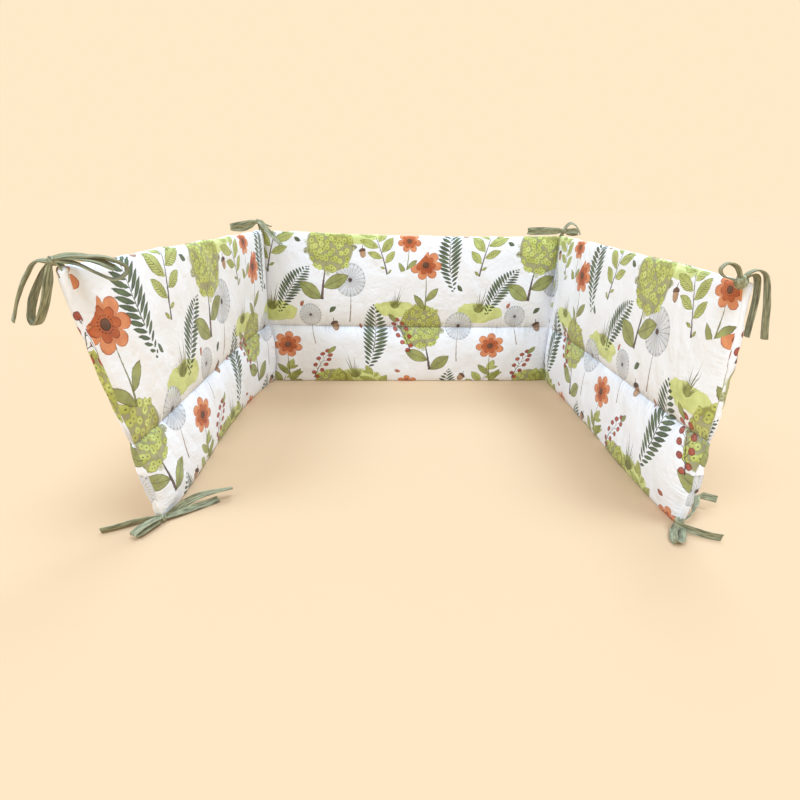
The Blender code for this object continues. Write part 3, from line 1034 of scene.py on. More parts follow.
@dataclass(frozen=True)
class Acorn(Motif):
    """A small acorn with its cup."""

    nut_radius: float = 9.0 * MM
    nut_narrowness: float = 1.45
    cup_radius: float = 7.2 * MM
    cup_flatness: float = 1.7
    cup_height: float = 4.5 * MM
    cup_rim: float = 3.0 * MM
    stalk_height: float = 11.0 * MM
    stalk_half_length: float = 3.0 * MM
    stalk_half_width: float = 0.6 * MM
    stalk_lean: float = 0.15

    def draw(self, canvas: Canvas) -> None:
        """Lay the acorn on the cloth.

        Args:
            canvas: The cloth.
        """
        chart = canvas.chart
        across, up = canvas.nearest(self.spots)
        canvas.lay(chart.reach(across * self.nut_narrowness, up) - self.nut_radius, TAN)
        cup = chart.reach(across, (up - self.cup_height) * self.cup_flatness) - self.cup_radius
        canvas.lay(cup.higher(self.cup_rim - up), BARK)
        stalk = abs(across - up * self.stalk_lean) - self.stalk_half_width
        canvas.lay(stalk.higher(abs(up - self.stalk_height) - self.stalk_half_length), BARK)


@dataclass(frozen=True)
class LooseLeaf(Motif):
    """A single small leaf with its midrib."""

    wash: Wash = FERN_GREEN
    length: float = 0.017
    slimness: float = 0.25  # half its width, as a share of its length
    bend: float = 14.0

    def draw(self, canvas: Canvas) -> None:
        """Lay the leaf on the cloth.

        Args:
            canvas: The cloth.
        """
        across, up = canvas.nearest(self.spots)
        curved = across - up * up * self.bend
        blade = leaf(up + 0.5 * self.length, curved, self.length, self.slimness * self.length)
        canvas.lay(blade, self.wash)
        canvas.lay(midrib(curved, blade, half_width=0.22 * MM, margin=0.5 * MM), OLIVE)


MOTIFS: tuple[Motif, ...] = (
    GrassTuft((Spot(14.0, 17.5, 0.0, 1.3), Spot(31.5, 3.0, 0.0, 1.4, True), Spot(40.5, 18.0, 0.0, 1.1))),
    FernFrond((Spot(6.5, 28, 10, 1.05), Spot(36.8, 11.5, -14, 1.15, True), Spot(18.8, 21.5, -28, 0.9))),
    SeedHead((Spot(9.0, 10.5, 4.0, 1.15), Spot(31.5, 19.5, -8.0, 1.25, True), Spot(22.0, 13.0, 14.0, 0.9))),
    MopheadBloom((Spot(25.5, 25.5, -5.0, 1.05), Spot(2.5, 10.0, 6.0, 1.0, True))),
    LeafyBranch((Spot(14.5, 28.5, -10.0, 0.95), Spot(37.5, 28.0, 14.0, 0.85, True))),
    Bloom((Spot(2.5, 22.5, -4.0, 1.1), Spot(16.5, 6.0, 6.0, 1.05, True), Spot(43.5, 27.5, -10.0, 0.8))),
    BerryTwig((Spot(43.0, 10.5, 16.0, 1.05), Spot(23.5, 4.0, -20.0, 1.0, True))),
    Acorn((Spot(27.5, 12.5, 24.0, 1.2), Spot(10.5, 1.0, -38.0, 1.1, True), Spot(33.5, 27.0, 12.0, 1.0))),
    LooseLeaf((Spot(9.5, 20.5, 40.0), Spot(27.0, 16.0, -50.0, 1.1), Spot(20.0, 29.0, 64.0, 0.9))),
    LooseLeaf((Spot(33.0, 12.5, 20.0, 0.9), Spot(20.5, 17.0, -30.0), Spot(41.0, 2.5, 75.0)), RUST, 0.014),
)


# ---- Finishes ----


@dataclass(frozen=True)
class DrawnCreases:
    """Fine creases that the stitching draws: upright ones by the seam, level ones by folds and ends, and a
    tuck along each fold. They sink the relief, and they also darken the cloth's colour as painted shade.

    Scales are creases in a metre, and fades say how fast they die away from the stitching.
    """

    upright_scale: float = 210.0
    upright_stretch: float = 0.05
    upright_width: float = 0.075
    upright_fade: float = 85.0
    patch_scale: float = 16.0
    patch_range: Pair = (0.36, 0.60)
    patch_least: float = 0.15
    level_scale: float = 95.0
    level_stretch: float = 0.12
    level_width: float = 0.12
    level_fade: float = 70.0
    level_patch_scale: float = 30.0
    level_strength: float = 1.4
    below_seam: Pair = (0.03, -0.02)  # heights over the seam
    least_above: float = 0.25
    end_margin: float = 0.006
    # a dark tuck along each fold: it sinks the relief, and its painted shade darkens the colour
    tuck_fade: float = 330.0
    tuck_strength: float = 0.9

    def reading(self, chart: NodeChart, map_name: str, length: float, seam_height: float) -> Reading:
        """Work out the creases.

        Args:
            chart: The material's nodes.
            map_name: Name of the cloth's flat map.
            length: Length of the cloth.
            seam_height: Height of the seam on it.

        Returns:
            1 deep in a crease, and 0 on plain cloth: the depth of both the relief and the painted shade.
        """
        along, from_seam = chart.parts(chart.map(f"{map_name}_seam"))[:2]
        to_fold, up = chart.parts(chart.map(f"{map_name}_fold"))[:2]
        lanes = chart.joined(along, from_seam * self.upright_stretch)
        upright = abs(chart.noise(lanes, self.upright_scale, 1.0) - 0.5).share(self.upright_width, 0.0)
        patches = chart.noise(lanes, self.patch_scale).share(*self.patch_range) + self.patch_least
        upright = upright * (abs(from_seam) * -self.upright_fade).through("EXPONENT") * patches
        to_end = along.lower(length - along).higher(0.0)
        to_edge = to_fold.lower(to_end)
        rungs = chart.joined(to_edge * self.level_stretch, up)
        level = abs(chart.noise(rungs, self.level_scale, 1.0) - 0.5).share(self.level_width, 0.0)
        level_patches = chart.noise(rungs, self.level_patch_scale) * self.level_strength
        level = level * (to_edge * -self.level_fade).through("EXPONENT") * level_patches
        lowness = up.share(*(seam_height + height for height in self.below_seam))
        level = level * (lowness * (1.0 - self.least_above) + self.least_above)
        level = level * to_end.share(0.0, self.end_margin)
        tuck = (to_fold * -self.tuck_fade).through("EXPONENT") * self.tuck_strength
        return upright.higher(level.higher(tuck))


@dataclass(frozen=True)
class PrintedCotton:
    """White cotton with a small generic print of leaves, flowers, grass and berries, a fine weave, and
    painted shade in its creases.
    """

    name: str = "printed_cotton"
    map_name: str = "cloth"
    white: Colour = (0.882, 0.900, 0.935)
    repeat: Pair = (0.45, 0.30)
    brush: Brushwork = Brushwork()
    thread_pitch: float = 0.62 * MM
    weave_height: float = 0.006
    soft_scale: float = 38.0
    crinkle_scale: float = 62.0
    crinkle_height: float = 0.7
    creases: DrawnCreases = DrawnCreases()
    # painted shade: the grey-blue that the colour is drawn towards in the creases, gathers and fold tucks
    painted_crease_shade_colour: Colour = (0.36, 0.38, 0.43)
    crease_shade: float = 0.34
    crease_depth: float = 0.55
    relief: float = 3.0 * MM
    relief_strength: float = 0.75
    length: float = 1.80
    seam_height: float = 0.123

    def material(self) -> Material:
        """Write the material.

        Returns:
            The printed cotton, laid out on the cloth's own map in metres, darkened in its creases as painted
            shade.
        """
        finish = Finish(self.name)
        place = finish.map(self.map_name)
        canvas = Canvas(finish, place, self.white, self.repeat, self.brush)
        for motif in MOTIFS:
            motif.draw(canvas)
        across, up = finish.parts(place)[:2]
        crinkle = abs(finish.noise(place, self.crinkle_scale) - 0.5) * self.crinkle_height
        creases = self.creases.reading(finish, self.map_name, self.length, self.seam_height)
        height = finish.weave(across, up, self.thread_pitch) * self.weave_height
        height = height + finish.noise(place, self.soft_scale, 3.0) - crinkle - creases * self.crease_depth
        return finish.shade(
            # painted shade: the print is darkened in the creases, by their depth
            Base_Color=finish.blend(creases * self.crease_shade, canvas.colour, self.painted_crease_shade_colour),
            Roughness=finish.varied(place, scale=300.0, least=0.80, more=0.10),
            Normal=finish.bump(height, self.relief, self.relief_strength),
            Specular_IOR_Level=0.25,
            Sheen_Weight=0.12,
            Sheen_Roughness=0.5,
        )


@dataclass(frozen=True)
class FoldedRibbonCloth:
    """Grey-green cotton ribbon, folded lengthwise and sewn along one edge, on a map in metres."""

    name: str = "sage_ribbon"
    map_name: str = "cloth"
    light: Colour = (0.482, 0.481, 0.290)
    deep: Colour = (0.072, 0.075, 0.039)
    streak_scale: float = 620.0
    streak_stretch: float = 0.10
    streak_range: Pair = (0.32, 0.68)
    streak_strength: float = 0.70
    fade_scale: float = 70.0
    fade_strength: float = 0.60
    paleness: float = 0.15
    thread_pitch: float = 0.45 * MM
    weave_height: float = 0.05
    rumple_scale: float = 150.0
    stitch_pitch: float = 2.6 * MM
    stitch_inset: float = 1.3 * MM
    stitch_half_width: float = 0.22 * MM
    stitch_share: float = 0.80  # of the pitch
    stitch_soft: float = 0.12 * MM
    stitch_depth: float = 0.4
    stitch_shade: float = 0.5
    stitch_tone: float = 0.55
    fold_place: float = 5.6 * MM
    fold_half_width: float = 0.5 * MM
    fold_depth: float = 0.5
    relief: float = 1.0 * MM
    relief_strength: float = 0.8

    def material(self) -> Material:
        """Write the material.

        Returns:
            The ribbon, with its weave, its line of stitches and a little fading.
        """
        finish = Finish(self.name)
        place = finish.map(self.map_name)
        across, along = finish.parts(place)[:2]
        lanes = finish.joined(across, along * self.streak_stretch)
        streaks = finish.noise(lanes, self.streak_scale).share(*self.streak_range)
        fading = streaks * self.streak_strength + finish.noise(place, self.fade_scale) * self.fade_strength
        cloth = finish.blend(fading - self.paleness, self.light, self.deep)
        line = abs(across - self.stitch_inset) - self.stitch_half_width
        half_pitch = 0.5 * self.stitch_pitch
        dash = along.through("PINGPONG", half_pitch) - self.stitch_share * half_pitch
        stitch = line.higher(dash).share(self.stitch_soft, -self.stitch_soft)
        fold = abs(across - self.fold_place).share(0.0, self.fold_half_width)
        height = finish.weave(across, along, self.thread_pitch) * self.weave_height
        height = height + finish.noise(place, self.rumple_scale)
        height = height + fold * self.fold_depth - stitch * self.stitch_depth
        return finish.shade(
            Base_Color=finish.blend(stitch * self.stitch_shade, cloth, toned(self.deep, self.stitch_tone)),
            Roughness=finish.varied(place, scale=400.0, least=0.74, more=0.12),
            Normal=finish.bump(height, self.relief, self.relief_strength),
            Specular_IOR_Level=0.3,
            Sheen_Weight=0.2,
            Sheen_Roughness=0.45,
        )


@dataclass(frozen=True)
class SewingThread:
    """White twisted sewing thread."""

    name: str = "sewing_thread"
    colour: Colour = (0.74, 0.745, 0.745)
    twist_scale: float = 900.0
    shade: float = 0.86

    def material(self) -> Material:
        """Write the material.

        Returns:
            The thread.
        """
        finish = Finish(self.name)
        twist = finish.noise(finish.place(), self.twist_scale, 1.0)
        return finish.shade(
            Base_Color=finish.blend(twist, self.colour, toned(self.colour, self.shade)),
            Normal=finish.bump(twist, depth=0.05 * MM, strength=0.5),
            Roughness=0.6,
            Specular_IOR_Level=0.35,
        )


@dataclass(frozen=True)
class PalePaint:
    """The plain pale floor."""

    name: str = "pale_floor"
    colour: Colour = (0.602, 0.4133, 0.2465)
    cloud_scale: float = 1.3
    shade: float = 0.97

    def material(self) -> Material:
        """Write the material.

        Returns:
            The floor's paint.
        """
        finish = Finish(self.name)
        clouds = finish.noise(finish.place(), self.cloud_scale)
        return finish.shade(
            Base_Color=finish.blend(clouds, self.colour, toned(self.colour, self.shade)),
            Roughness=0.9,
            Specular_IOR_Level=0.1,
        )


# ---- The quilted strip ----


@dataclass(frozen=True)
class Post:
    """An end or a fold of the strip: where it stands, and how its top leans away from its foot."""

    foot: Pair
    lean: Pair
    rise: float  # of its top over the stand height
    belly: float = 0.0  # outward at mid height
    seam: float = 0.41  # height of the seam there, as a share
    swell: float = 0.003


@dataclass(frozen=True)
class Panel:
    """The soft bend of the strip between two posts, outward positive."""

    foot_bow: float
    head_bow: float
    foot_wave: float
    sag: float


@dataclass(frozen=True)
class Columns:
    """The upright sections of the strip, one entry of each array for each section."""

    panel: Array
    share: Array  # of the way along the panel
    turn: Array  # share of the way round a fold, or -1 on a panel
    to_fold: Array
    to_end: Array
    on_side: Array  # on a side panel, or on its half of a fold


@dataclass(frozen=True)
class StripForm:
    """The strip's middle surface, in the part's frame: one value for each row and section."""

    levels: Array  # share of the height, for each row
    filled: Array  # how full the channel is, for each row
    columns: Columns
    middle: Array
    outward: Array  # plan direction
    inward_end: Array  # plan direction away from the nearest open end
    height: Array
    half: Array
    along: Array  # distance along the strip, for each section
    edge_wave: Array  # rise of the top edge, for each section

    def face(self, side: Side, sink: float) -> Array:
        """Places on a face of the plain form, sunk a little into it."""
        plan = self.middle + side.value * (self.half - sink)[..., None] * self.outward
        return np.concatenate([plan, self.height[..., None]], axis=-1)


@dataclass(frozen=True)
class Hump:
    """Soft humps of filling. Distances between them are in mm."""

    draw: int  # its number among the face's random draws
    height: float
    along: float
    up: float


@dataclass(frozen=True)
class Puckers:
    """How stitching and filling unsettle a face: gathers at the seam, pleats by folds and ends, and humps."""

    seeds: tuple[int, int] = (11, 47)  # of the inner and the outer face
    fold_reach: float = 0.045  # how far a fold or an end deepens the gathers
    end_reach: float = 0.060
    gather_depth: float = 2.2 * MM
    gather_spacing: float = 8.0 * MM
    gather_height: float = 60.0 * MM
    gather_reach: Pair = (0.009, 0.012)  # least, and what the longest have more
    reach_pitch: float = 11.0 * MM
    gather_shares: Triple = (0.5, 0.8, 0.4)  # everywhere, by folds and ends, by chance
    depth_pitch: float = 50.0 * MM
    pleat_spacing: float = 10.0 * MM
    pleat_length: float = 90.0 * MM
    pleat_depth: float = 1.8 * MM
    low_right_depth: float = 3.2 * MM  # at the right end's lower channel
    fold_pleat_reach: float = 0.016
    end_pleat_reach: float = 0.024
    sharpness: float = 3.0
    humps: tuple[Hump, ...] = (Hump(4, 1.9, 80.0, 70.0), Hump(5, 1.0, 26.0, 34.0), Hump(7, 2.0, 38.0, 240.0))
    left_roll: float = 0.0090  # how far the lower channel of a side panel bulges by its fold
    right_roll: float = 0.0025
    roll_place: float = 0.007
    roll_reach: float = 0.011
    draw_depth: float = 1.4 * MM
    draw_spacing: float = 34.0 * MM
    draw_height: float = 80.0 * MM
    draw_lean: float = 0.5
    draw_sharpness: float = 5.0

    def relief(self, side: Side, form: StripForm, seam_row: int) -> Array:
        """How far each point of a face stands proud of the plain form.

        Args:
            side: The face.
            form: The plain form.
            seam_row: The row of points on the seam.

        Returns:
            Heights in metres, one for each row and section.
        """
        seed = self.seeds[0] if side is Side.INNER else self.seeds[1]
        columns = form.columns
        along, up = np.broadcast_arrays(form.along[None, :], form.height)
        filled = form.filled[:, None]
        is_low = (form.levels < form.levels[seam_row])[:, None]
        from_seam = np.abs(up - up[seam_row][None, :])
        to_fold, to_end = columns.to_fold[None, :], columns.to_end[None, :]
        near = np.maximum(np.exp(-to_fold / self.fold_reach), np.exp(-to_end / self.end_reach))
        gathers = Unevenness(seed, self.gather_spacing, self.gather_height).creases(along, up, self.sharpness)
        least, more = self.gather_reach
        reach = least + more * Unevenness(seed + 1, self.reach_pitch).at(along) ** 2
        usual, beside, by_chance = self.gather_shares
        depth = usual + beside * near + by_chance * Unevenness(seed + 2, self.depth_pitch).at(along)
        relief = -self.gather_depth * gathers * np.exp(-from_seam / reach) * depth
        folds = Unevenness(seed + 3, self.pleat_length, self.pleat_spacing)
        pleats = folds.creases(along, up, self.sharpness)
        relief -= self.pleat_depth * pleats * np.exp(-to_fold / self.fold_pleat_reach) * filled
        is_low_right = (columns.panel == columns.panel[-1])[None, :] & is_low
        end_depth = np.where(is_low_right, self.low_right_depth, self.pleat_depth)
        relief -= end_depth * pleats * np.exp(-to_end / self.end_pleat_reach) * filled
        for hump in self.humps:
            humps = Unevenness(seed + hump.draw, hump.along * MM, hump.up * MM).at(along, up)
            relief += hump.height * MM * humps * filled
        if side is Side.INNER:
            roll = np.where(columns.panel == 0, self.left_roll, self.right_roll)[None, :]
            roll = np.where(columns.on_side[None, :] & is_low, roll, 0.0)
            relief += roll * filled * np.exp(-(((to_fold - self.roll_place) / self.roll_reach) ** 2))
        lines = Unevenness(seed + 6, self.draw_spacing, self.draw_height)
        drawn = lines.creases(along + self.draw_lean * up, up, self.draw_sharpness)
        return relief - self.draw_depth * drawn * filled


@dataclass(frozen=True)
class QuiltedStrip:
    """The filled strip of three panels, with its channels, seam, folds, rims and puckers."""

    posts: tuple[Post, ...] = (
        Post(foot=(-0.345, -0.270), lean=(0.002, -0.036), rise=0.002, seam=0.378, swell=0.006),
        Post(foot=(-0.310, 0.282), lean=(0.019, -0.001), rise=0.004, belly=0.001),
        Post(foot=(0.326, 0.282), lean=(-0.019, 0.005), rise=0.003, belly=-0.006),
        Post(foot=(0.324, -0.302), lean=(-0.017, 0.011), rise=-0.005, belly=0.006),
    )
    panels: tuple[Panel, ...] = (
        Panel(foot_bow=0.016, head_bow=-0.006, foot_wave=0.015, sag=-0.001),
        Panel(foot_bow=-0.001, head_bow=-0.002, foot_wave=0.0, sag=0.004),
        Panel(foot_bow=0.002, head_bow=0.007, foot_wave=-0.0105, sag=-0.001),
    )
    puckers: Puckers = Puckers()
    low_corner: Pair = (-0.3551, -0.3074)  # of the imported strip, in the posts' frame
    flat_length: float = 1.80
    flat_height: float = 0.30
    stand_height: float = 0.295
    seam_share: float = 0.41
    pad_thickness: float = 0.025
    edge_thickness: float = 0.011
    sewn_thickness: float = 0.0045
    dome_power: float = 2.1
    fold_reach: float = 0.007
    fold_half_arc: float = 0.006
    fold_softness: float = 0.018
    full_softness: float = 0.009  # in the side panels' lower channel
    end_reach: float = 0.045
    edge_round: float = 0.003
    rim_groove: float = 0.35 * MM
    seam_round: float = 0.0009
    end_draw: float = 0.003
    draw_fade: float = 0.020
    corner_lift: float = 0.003
    corner_reach: float = 0.010
    corner_levels: float = 0.25
    pitch: float = 0.0024
    fold_sections: int = 9
    lower_rows: int = 22
    upper_rows: int = 28
    rim_steps: int = 7
    foot_round: float = 0.0012
    band_bend: float = 0.75  # below 1, an end's cloth turns in sharply
    band_fullness: float = 0.6  # below 1, it is blunt
    edge_waves: tuple[Triple, ...] = ((90, 0.9, 55.0), (91, 0.4, 14.0))  # seed, height and pitch in mm
    edge_wave_power: int = 6  # how closely they keep to the top edge
    outer_start: Pair = (2.027, 0.094)  # of the inner cloth's origin on the outer print
    # The outer faces' fold map is moved off, so the outer folds get faint creases and little painted shade.
    outer_fold_depth: float = 0.010  # keeps the outer folds' creases faint
    thread_sink: float = 0.1 * MM
    thread_margin: int = 2  # rows of a fold without thread

    def dome(self, place: Array | float) -> Array:
        """Height of a filled channel's section, from 0 at place -1 or 1 to 1 at place 0."""
        return (1.0 - np.minimum(np.abs(place), 1.0) ** self.dome_power) ** (1.0 / self.dome_power)

    def levels(self) -> Array:
        """Set out the rows of points, closer together beside the seams.

        Returns:
            Their shares of the height.
        """
        counts = (self.lower_rows, self.upper_rows)
        lower, upper = (0.5 - 0.5 * np.cos(np.linspace(0.0, np.pi, rows + 1)) for rows in counts)
        upper = self.seam_share + upper[1:] * (1.0 - self.seam_share)
        return np.concatenate([lower * self.seam_share, upper])

    def channel_place(self, levels: Array) -> tuple[Array, Array]:
        """Find where levels are in the channel that holds them.

        Args:
            levels: Shares of the height.

        Returns:
            Places across the channel, from -1 to 1, and closeness to the strip's rim.
        """
        low = levels / self.seam_share
        high = (levels - self.seam_share) / (1.0 - self.seam_share)
        is_low = levels <= self.seam_share
        return np.where(is_low, 2.0 * low - 1.0, 2.0 * high - 1.0), np.where(is_low, 1.0 - low, high)

    def post_spot(self, index: int, level: Array) -> Array:
        """Plan place of a post's line at each level.

        Args:
            index: Which post.
            level: Shares of the height.

        Returns:
            Its plan place at each level, in the posts' frame.
        """
        post = self.posts[index]
        foot = np.array(post.foot)
        outward = unit(foot - np.mean([other.foot for other in self.posts], axis=0))
        level = level[..., None]
        return foot + level * np.array(post.lean) + arch(level) * post.belly * outward

    def panel_spot(self, index: int, share: float, level: Array) -> Array:
        """Plan place of the middle of the strip on a panel.

        Args:
            index: Which panel.
            share: Share of the way along it.
            level: Shares of the height.

        Returns:
            Its plan place at each level, in the posts' frame.
        """
        panel = self.panels[index]
        start = self.post_spot(index, level)
        chord = self.post_spot(index + 1, level) - start
        outward = unit(np.stack([-chord[..., 1], chord[..., 0]], axis=-1))
        bow = (1.0 - level) * panel.foot_bow + level * panel.head_bow
        wave = arch(share) * (2.0 * share - 1.0) * (1.0 - level) * panel.foot_wave
        return start + share * chord + (arch(share) * bow + wave)[..., None] * outward

    def fold_spot(self, index: int, share: float, turn: float, level: Array) -> Array:
        """Plan place of the middle of the strip, on the way round the fold after a panel.

        Args:
            index: Which panel.
            share: Share of the way along it where the fold begins.
            turn: Share of the way round the fold.
            level: Shares of the height.

        Returns:
            Its plan place at each level, in the posts' frame.
        """
        start = self.panel_spot(index, share, level)
        corner = self.post_spot(index + 1, level)
        finish = self.panel_spot(index + 1, self.fold_reach / self.panel_length(index + 1), level)
        return (1.0 - turn) ** 2 * start + 2.0 * turn * (1.0 - turn) * corner + turn**2 * finish

    def panel_length(self, index: int) -> float:
        """Distance between the feet of two posts."""
        return math.dist(self.posts[index].foot, self.posts[index + 1].foot)

    def columns(self) -> Columns:
        """Set out the sections.

        Returns:
            All sections, from the left front end to the right front end.
        """
        blocks: list[Array] = []
        last_panel = len(self.panels) - 1
        for index in range(len(self.panels)):
            length = self.panel_length(index)
            first = self.fold_reach / length if index > 0 else 0.0
            last = 1.0 - (self.fold_reach / length if index < last_panel else 0.0)
            shares = np.linspace(first, last, round((last - first) * length / self.pitch) + 1)
            far = np.full(len(shares), np.inf)
            before = (shares - first) * length + self.fold_half_arc if index > 0 else far
            after = (last - shares) * length + self.fold_half_arc if index < last_panel else far
            to_start = shares * length if index == 0 else far
            to_finish = (1.0 - shares) * length if index == last_panel else far
            on_side = float(index in (0, last_panel))
            to_fold, to_end = np.minimum(before, after), np.minimum(to_start, to_finish)
            blocks.append(np.vstack(np.broadcast_arrays(index, shares, -1.0, to_fold, to_end, on_side)))
            if index < last_panel:
                turns = np.linspace(0.0, 1.0, self.fold_sections + 1)[1:-1]
                to_fold = 2.0 * np.abs(turns - 0.5) * self.fold_half_arc
                on_side = (turns < 0.5) == (index == 0)
                blocks.append(np.vstack(np.broadcast_arrays(index, last, turns, to_fold, np.inf, on_side)))
        panel, share, turn, to_fold, to_end, on_side = np.hstack(blocks)
        return Columns(panel.astype(int), share, turn, to_fold, to_end, on_side > 0.5)

    def half_thickness(self, columns: Columns, number: int, levels: Array) -> Array:
        """Half the strip's thickness down one section.

        Args:
            columns: The sections.
            number: Which one.
            levels: Shares of the height.

        Returns:
            One value for each level.
        """
        place, to_rim = self.channel_place(levels)
        across = self.dome(place)
        to_fold, to_end = columns.to_fold[number], columns.to_end[number]
        is_full = (levels < self.seam_share) & columns.on_side[number]
        beside_fold = 1.0 - np.exp(-to_fold / np.where(is_full, self.full_softness, self.fold_softness))
        beside_end = self.dome(1.0 - min(to_end / self.end_reach, 1.0))
        by_end = across * math.exp(-to_end / self.end_reach)
        rim = np.maximum(to_rim * min(1.0, to_fold / self.end_reach), by_end)
        flat = 0.5 * (self.sewn_thickness + (self.edge_thickness - self.sewn_thickness) * rim)
        return flat + (0.5 * self.pad_thickness - flat) * across * beside_fold * beside_end

    def form(self) -> StripForm:
        """Work out the strip's middle surface.

        Returns:
            The form, in the part's frame.
        """
        levels, columns = self.levels(), self.columns()
        across = self.dome(self.channel_place(levels)[0])
        shape = (len(levels), len(columns.share))
        middle, height, half = np.zeros((*shape, 2)), np.zeros(shape), np.zeros(shape)
        for number in range(shape[1]):
            index, share, turn = columns.panel[number], columns.share[number], columns.turn[number]
            before, after = self.posts[index], self.posts[index + 1]
            weight = 1.0 if turn >= 0.0 else share
            seam = (1.0 - weight) * before.seam + weight * after.seam
            level = np.interp(levels, (0.0, self.seam_share, 1.0), (0.0, seam, 1.0))
            if turn >= 0.0:
                middle[:, number] = self.fold_spot(index, share, turn, level)
            else:
                middle[:, number] = self.panel_spot(index, share, level)
            rise = (1.0 - weight) * before.rise + weight * after.rise
            top = self.stand_height + rise - arch(share) * self.panels[index].sag
            lift = self.corner_lift * max(0.0, 1.0 - columns.to_end[number] / self.corner_reach) ** 2
            height[:, number] = level * (top - self.edge_round)
            height[:, number] += lift * np.maximum(0.0, 1.0 - levels / self.corner_levels)
            half[:, number] = self.half_thickness(columns, number, levels)
        tangent = unit(np.gradient(middle, axis=1))
        outward = np.stack([-tangent[..., 1], tangent[..., 0]], axis=-1)
        inward_end = tangent * np.where(np.arange(shape[1]) < shape[1] / 2, 1.0, -1.0)[None, :, None]
        drawn = (1.0 - across)[:, None] * self.end_draw * np.exp(-columns.to_end / self.draw_fade)[None, :]
        middle = middle + drawn[..., None] * inward_end
        along = reaches(middle[len(levels) // 2])
        along *= self.flat_length / along[-1]
        middle = middle + self.plan_shift()
        waves = [size * MM * Unevenness(seed, pitch * MM).at(along) for seed, size, pitch in self.edge_waves]
        edge_wave = sum(waves)
        return StripForm(levels, across, columns, middle, outward, inward_end, height, half, along, edge_wave)

    def plan_shift(self) -> Array:
        """Plan shift that takes the posts' frame to the part's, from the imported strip's box."""
        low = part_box(STRIP_NODE)[0]
        return np.array([low.x - self.low_corner[0], low.y - self.low_corner[1]])

    def add_section(self, skin: Skin, form: StripForm, relief: dict[Side, Array], number: int) -> list[int]:
        """Add the points round one section: up the inner face, over the top edge and down the outer face.

        Args:
            skin: The strip in the making.
            form: Its middle surface.
            relief: How far each face stands proud of the plain form.
            number: Which section.

        Returns:
            The points' numbers.
        """
        levels, half, along = form.levels, form.half[:, number], form.along[number]
        middle, outward = form.middle[:, number], form.outward[:, number]
        height = form.height[:, number] + form.edge_wave[number] * levels**self.edge_wave_power
        top = len(levels) - 1

        def add(side: Side, row: int, reach: float, rise: float, up: float) -> int:
            """Add a point at a reach from the middle of a row."""
            spot = middle[row] + side.value * reach * outward[row]
            return skin.add_point(np.array([*spot, height[row] + rise]), (along, up))

        def add_foot(side: Side) -> int:
            """Add the point under a face's rounded foot."""
            return add(side, 0, half[0] - self.foot_round, 0.0, 0.0)

        def add_to_face(side: Side, row: int) -> int:
            """Add a face's point of one row."""
            lift, proud = (0.0, relief[side][row, number]) if row > 0 else (self.foot_round, 0.0)
            return add(side, row, half[row] + proud, lift, levels[row] * self.flat_height + lift)

        ring = [add_foot(Side.INNER), *(add_to_face(Side.INNER, row) for row in range(top + 1))]
        for step in range(1, 2 * self.rim_steps):
            angle = math.pi * step / (2 * self.rim_steps)
            side = Side.INNER if math.cos(angle) >= 0.0 else Side.OUTER
            reach = (half[top] + relief[side][top, number]) * abs(math.cos(angle))
            rise = self.edge_round * math.sin(angle) - self.rim_groove * (step == self.rim_steps)
            up = self.flat_height + half[top] * min(angle, math.pi - angle)
            ring.append(add(side, top, reach, rise, up))
        ring.extend(add_to_face(Side.OUTER, row) for row in reversed(range(top + 1)))
        return [*ring, add_foot(Side.OUTER)]

    def close_end(self, skin: Skin, form: StripForm, number: int, ring: Sequence[int]) -> None:
        """Close an open end with a rounded band of cloth, drawn in where the seam and the corners meet it.

        Args:
            skin: The strip in the making.
            form: Its middle surface.
            number: The end's section and post: 0, or -1 for the last.
            ring: Point numbers round that section.
        """
        is_first = number == 0
        post = self.posts[number]
        pairs = len(ring) // 2
        swell = np.interp(np.linspace(0.0, 1.0, pairs), np.linspace(0.0, 1.0, len(form.levels)), form.filled)
        inward = unit(form.inward_end[:, number].mean(axis=0))
        grid: list[list[int]] = []
        for pair, (inner, outer) in enumerate(zip(ring[:pairs], ring[::-1])):
            start, finish = skin.points[inner], skin.points[outer]
            reach = self.seam_round + (post.swell - self.seam_round) * swell[pair]
            row = [inner]
            for step in range(1, self.rim_steps):
                angle = math.pi * step / self.rim_steps
                bend = math.copysign(abs(math.cos(angle)) ** self.band_bend, math.cos(angle))
                share = 0.5 - 0.5 * bend
                spot = start * (1.0 - share) + finish * share
                spot[:2] -= reach * math.sin(angle) ** self.band_fullness * inward
                past = (1.0 - share) * self.edge_thickness
                along = form.along[number] + (-past if is_first else past)
                row.append(skin.add_point(spot, (along, spot[2] / self.stand_height * self.flat_height)))
            grid.append([*row, outer])
        for low, high in zip(grid, grid[1:]):
            for step in range(self.rim_steps):
                corners = (low[step], low[step + 1], high[step + 1], high[step])
                skin.add_face(corners if is_first else corners[::-1], outer=True)
        crest, foot = (*grid[-1], ring[pairs]), grid[0]
        skin.add_face(crest if is_first else crest[::-1], outer=True)
        skin.add_face(foot[::-1] if is_first else foot, outer=True)

    def add_maps(self, mesh: Mesh, skin: Skin, form: StripForm, name: str) -> None:
        """Lay the cloth's flat map on the strip, and two that tell how far the seam and the folds are.

        The outer cloth is a piece of its own, with its print turned round.

        Args:
            mesh: The strip.
            skin: What it was made from.
            form: Its middle surface.
            name: Name of the flat map. The others' names end in _seam and _fold.
        """
        spots, is_outer = np.array(skin.spots), np.array(skin.is_outer)
        outer_spots = spots * np.array([-1.0, 1.0]) + np.array(self.outer_start)
        add_map(mesh, name, np.where(is_outer[:, None], outer_spots, spots))
        add_map(mesh, f"{name}_seam", spots - np.array([0.0, self.seam_share * self.flat_height]))
        to_fold = np.interp(spots[:, 0], form.along, np.minimum(form.columns.to_fold, 1.0))
        to_fold += self.outer_fold_depth * is_outer
        add_map(mesh, f"{name}_fold", np.column_stack([to_fold, spots[:, 1]]))

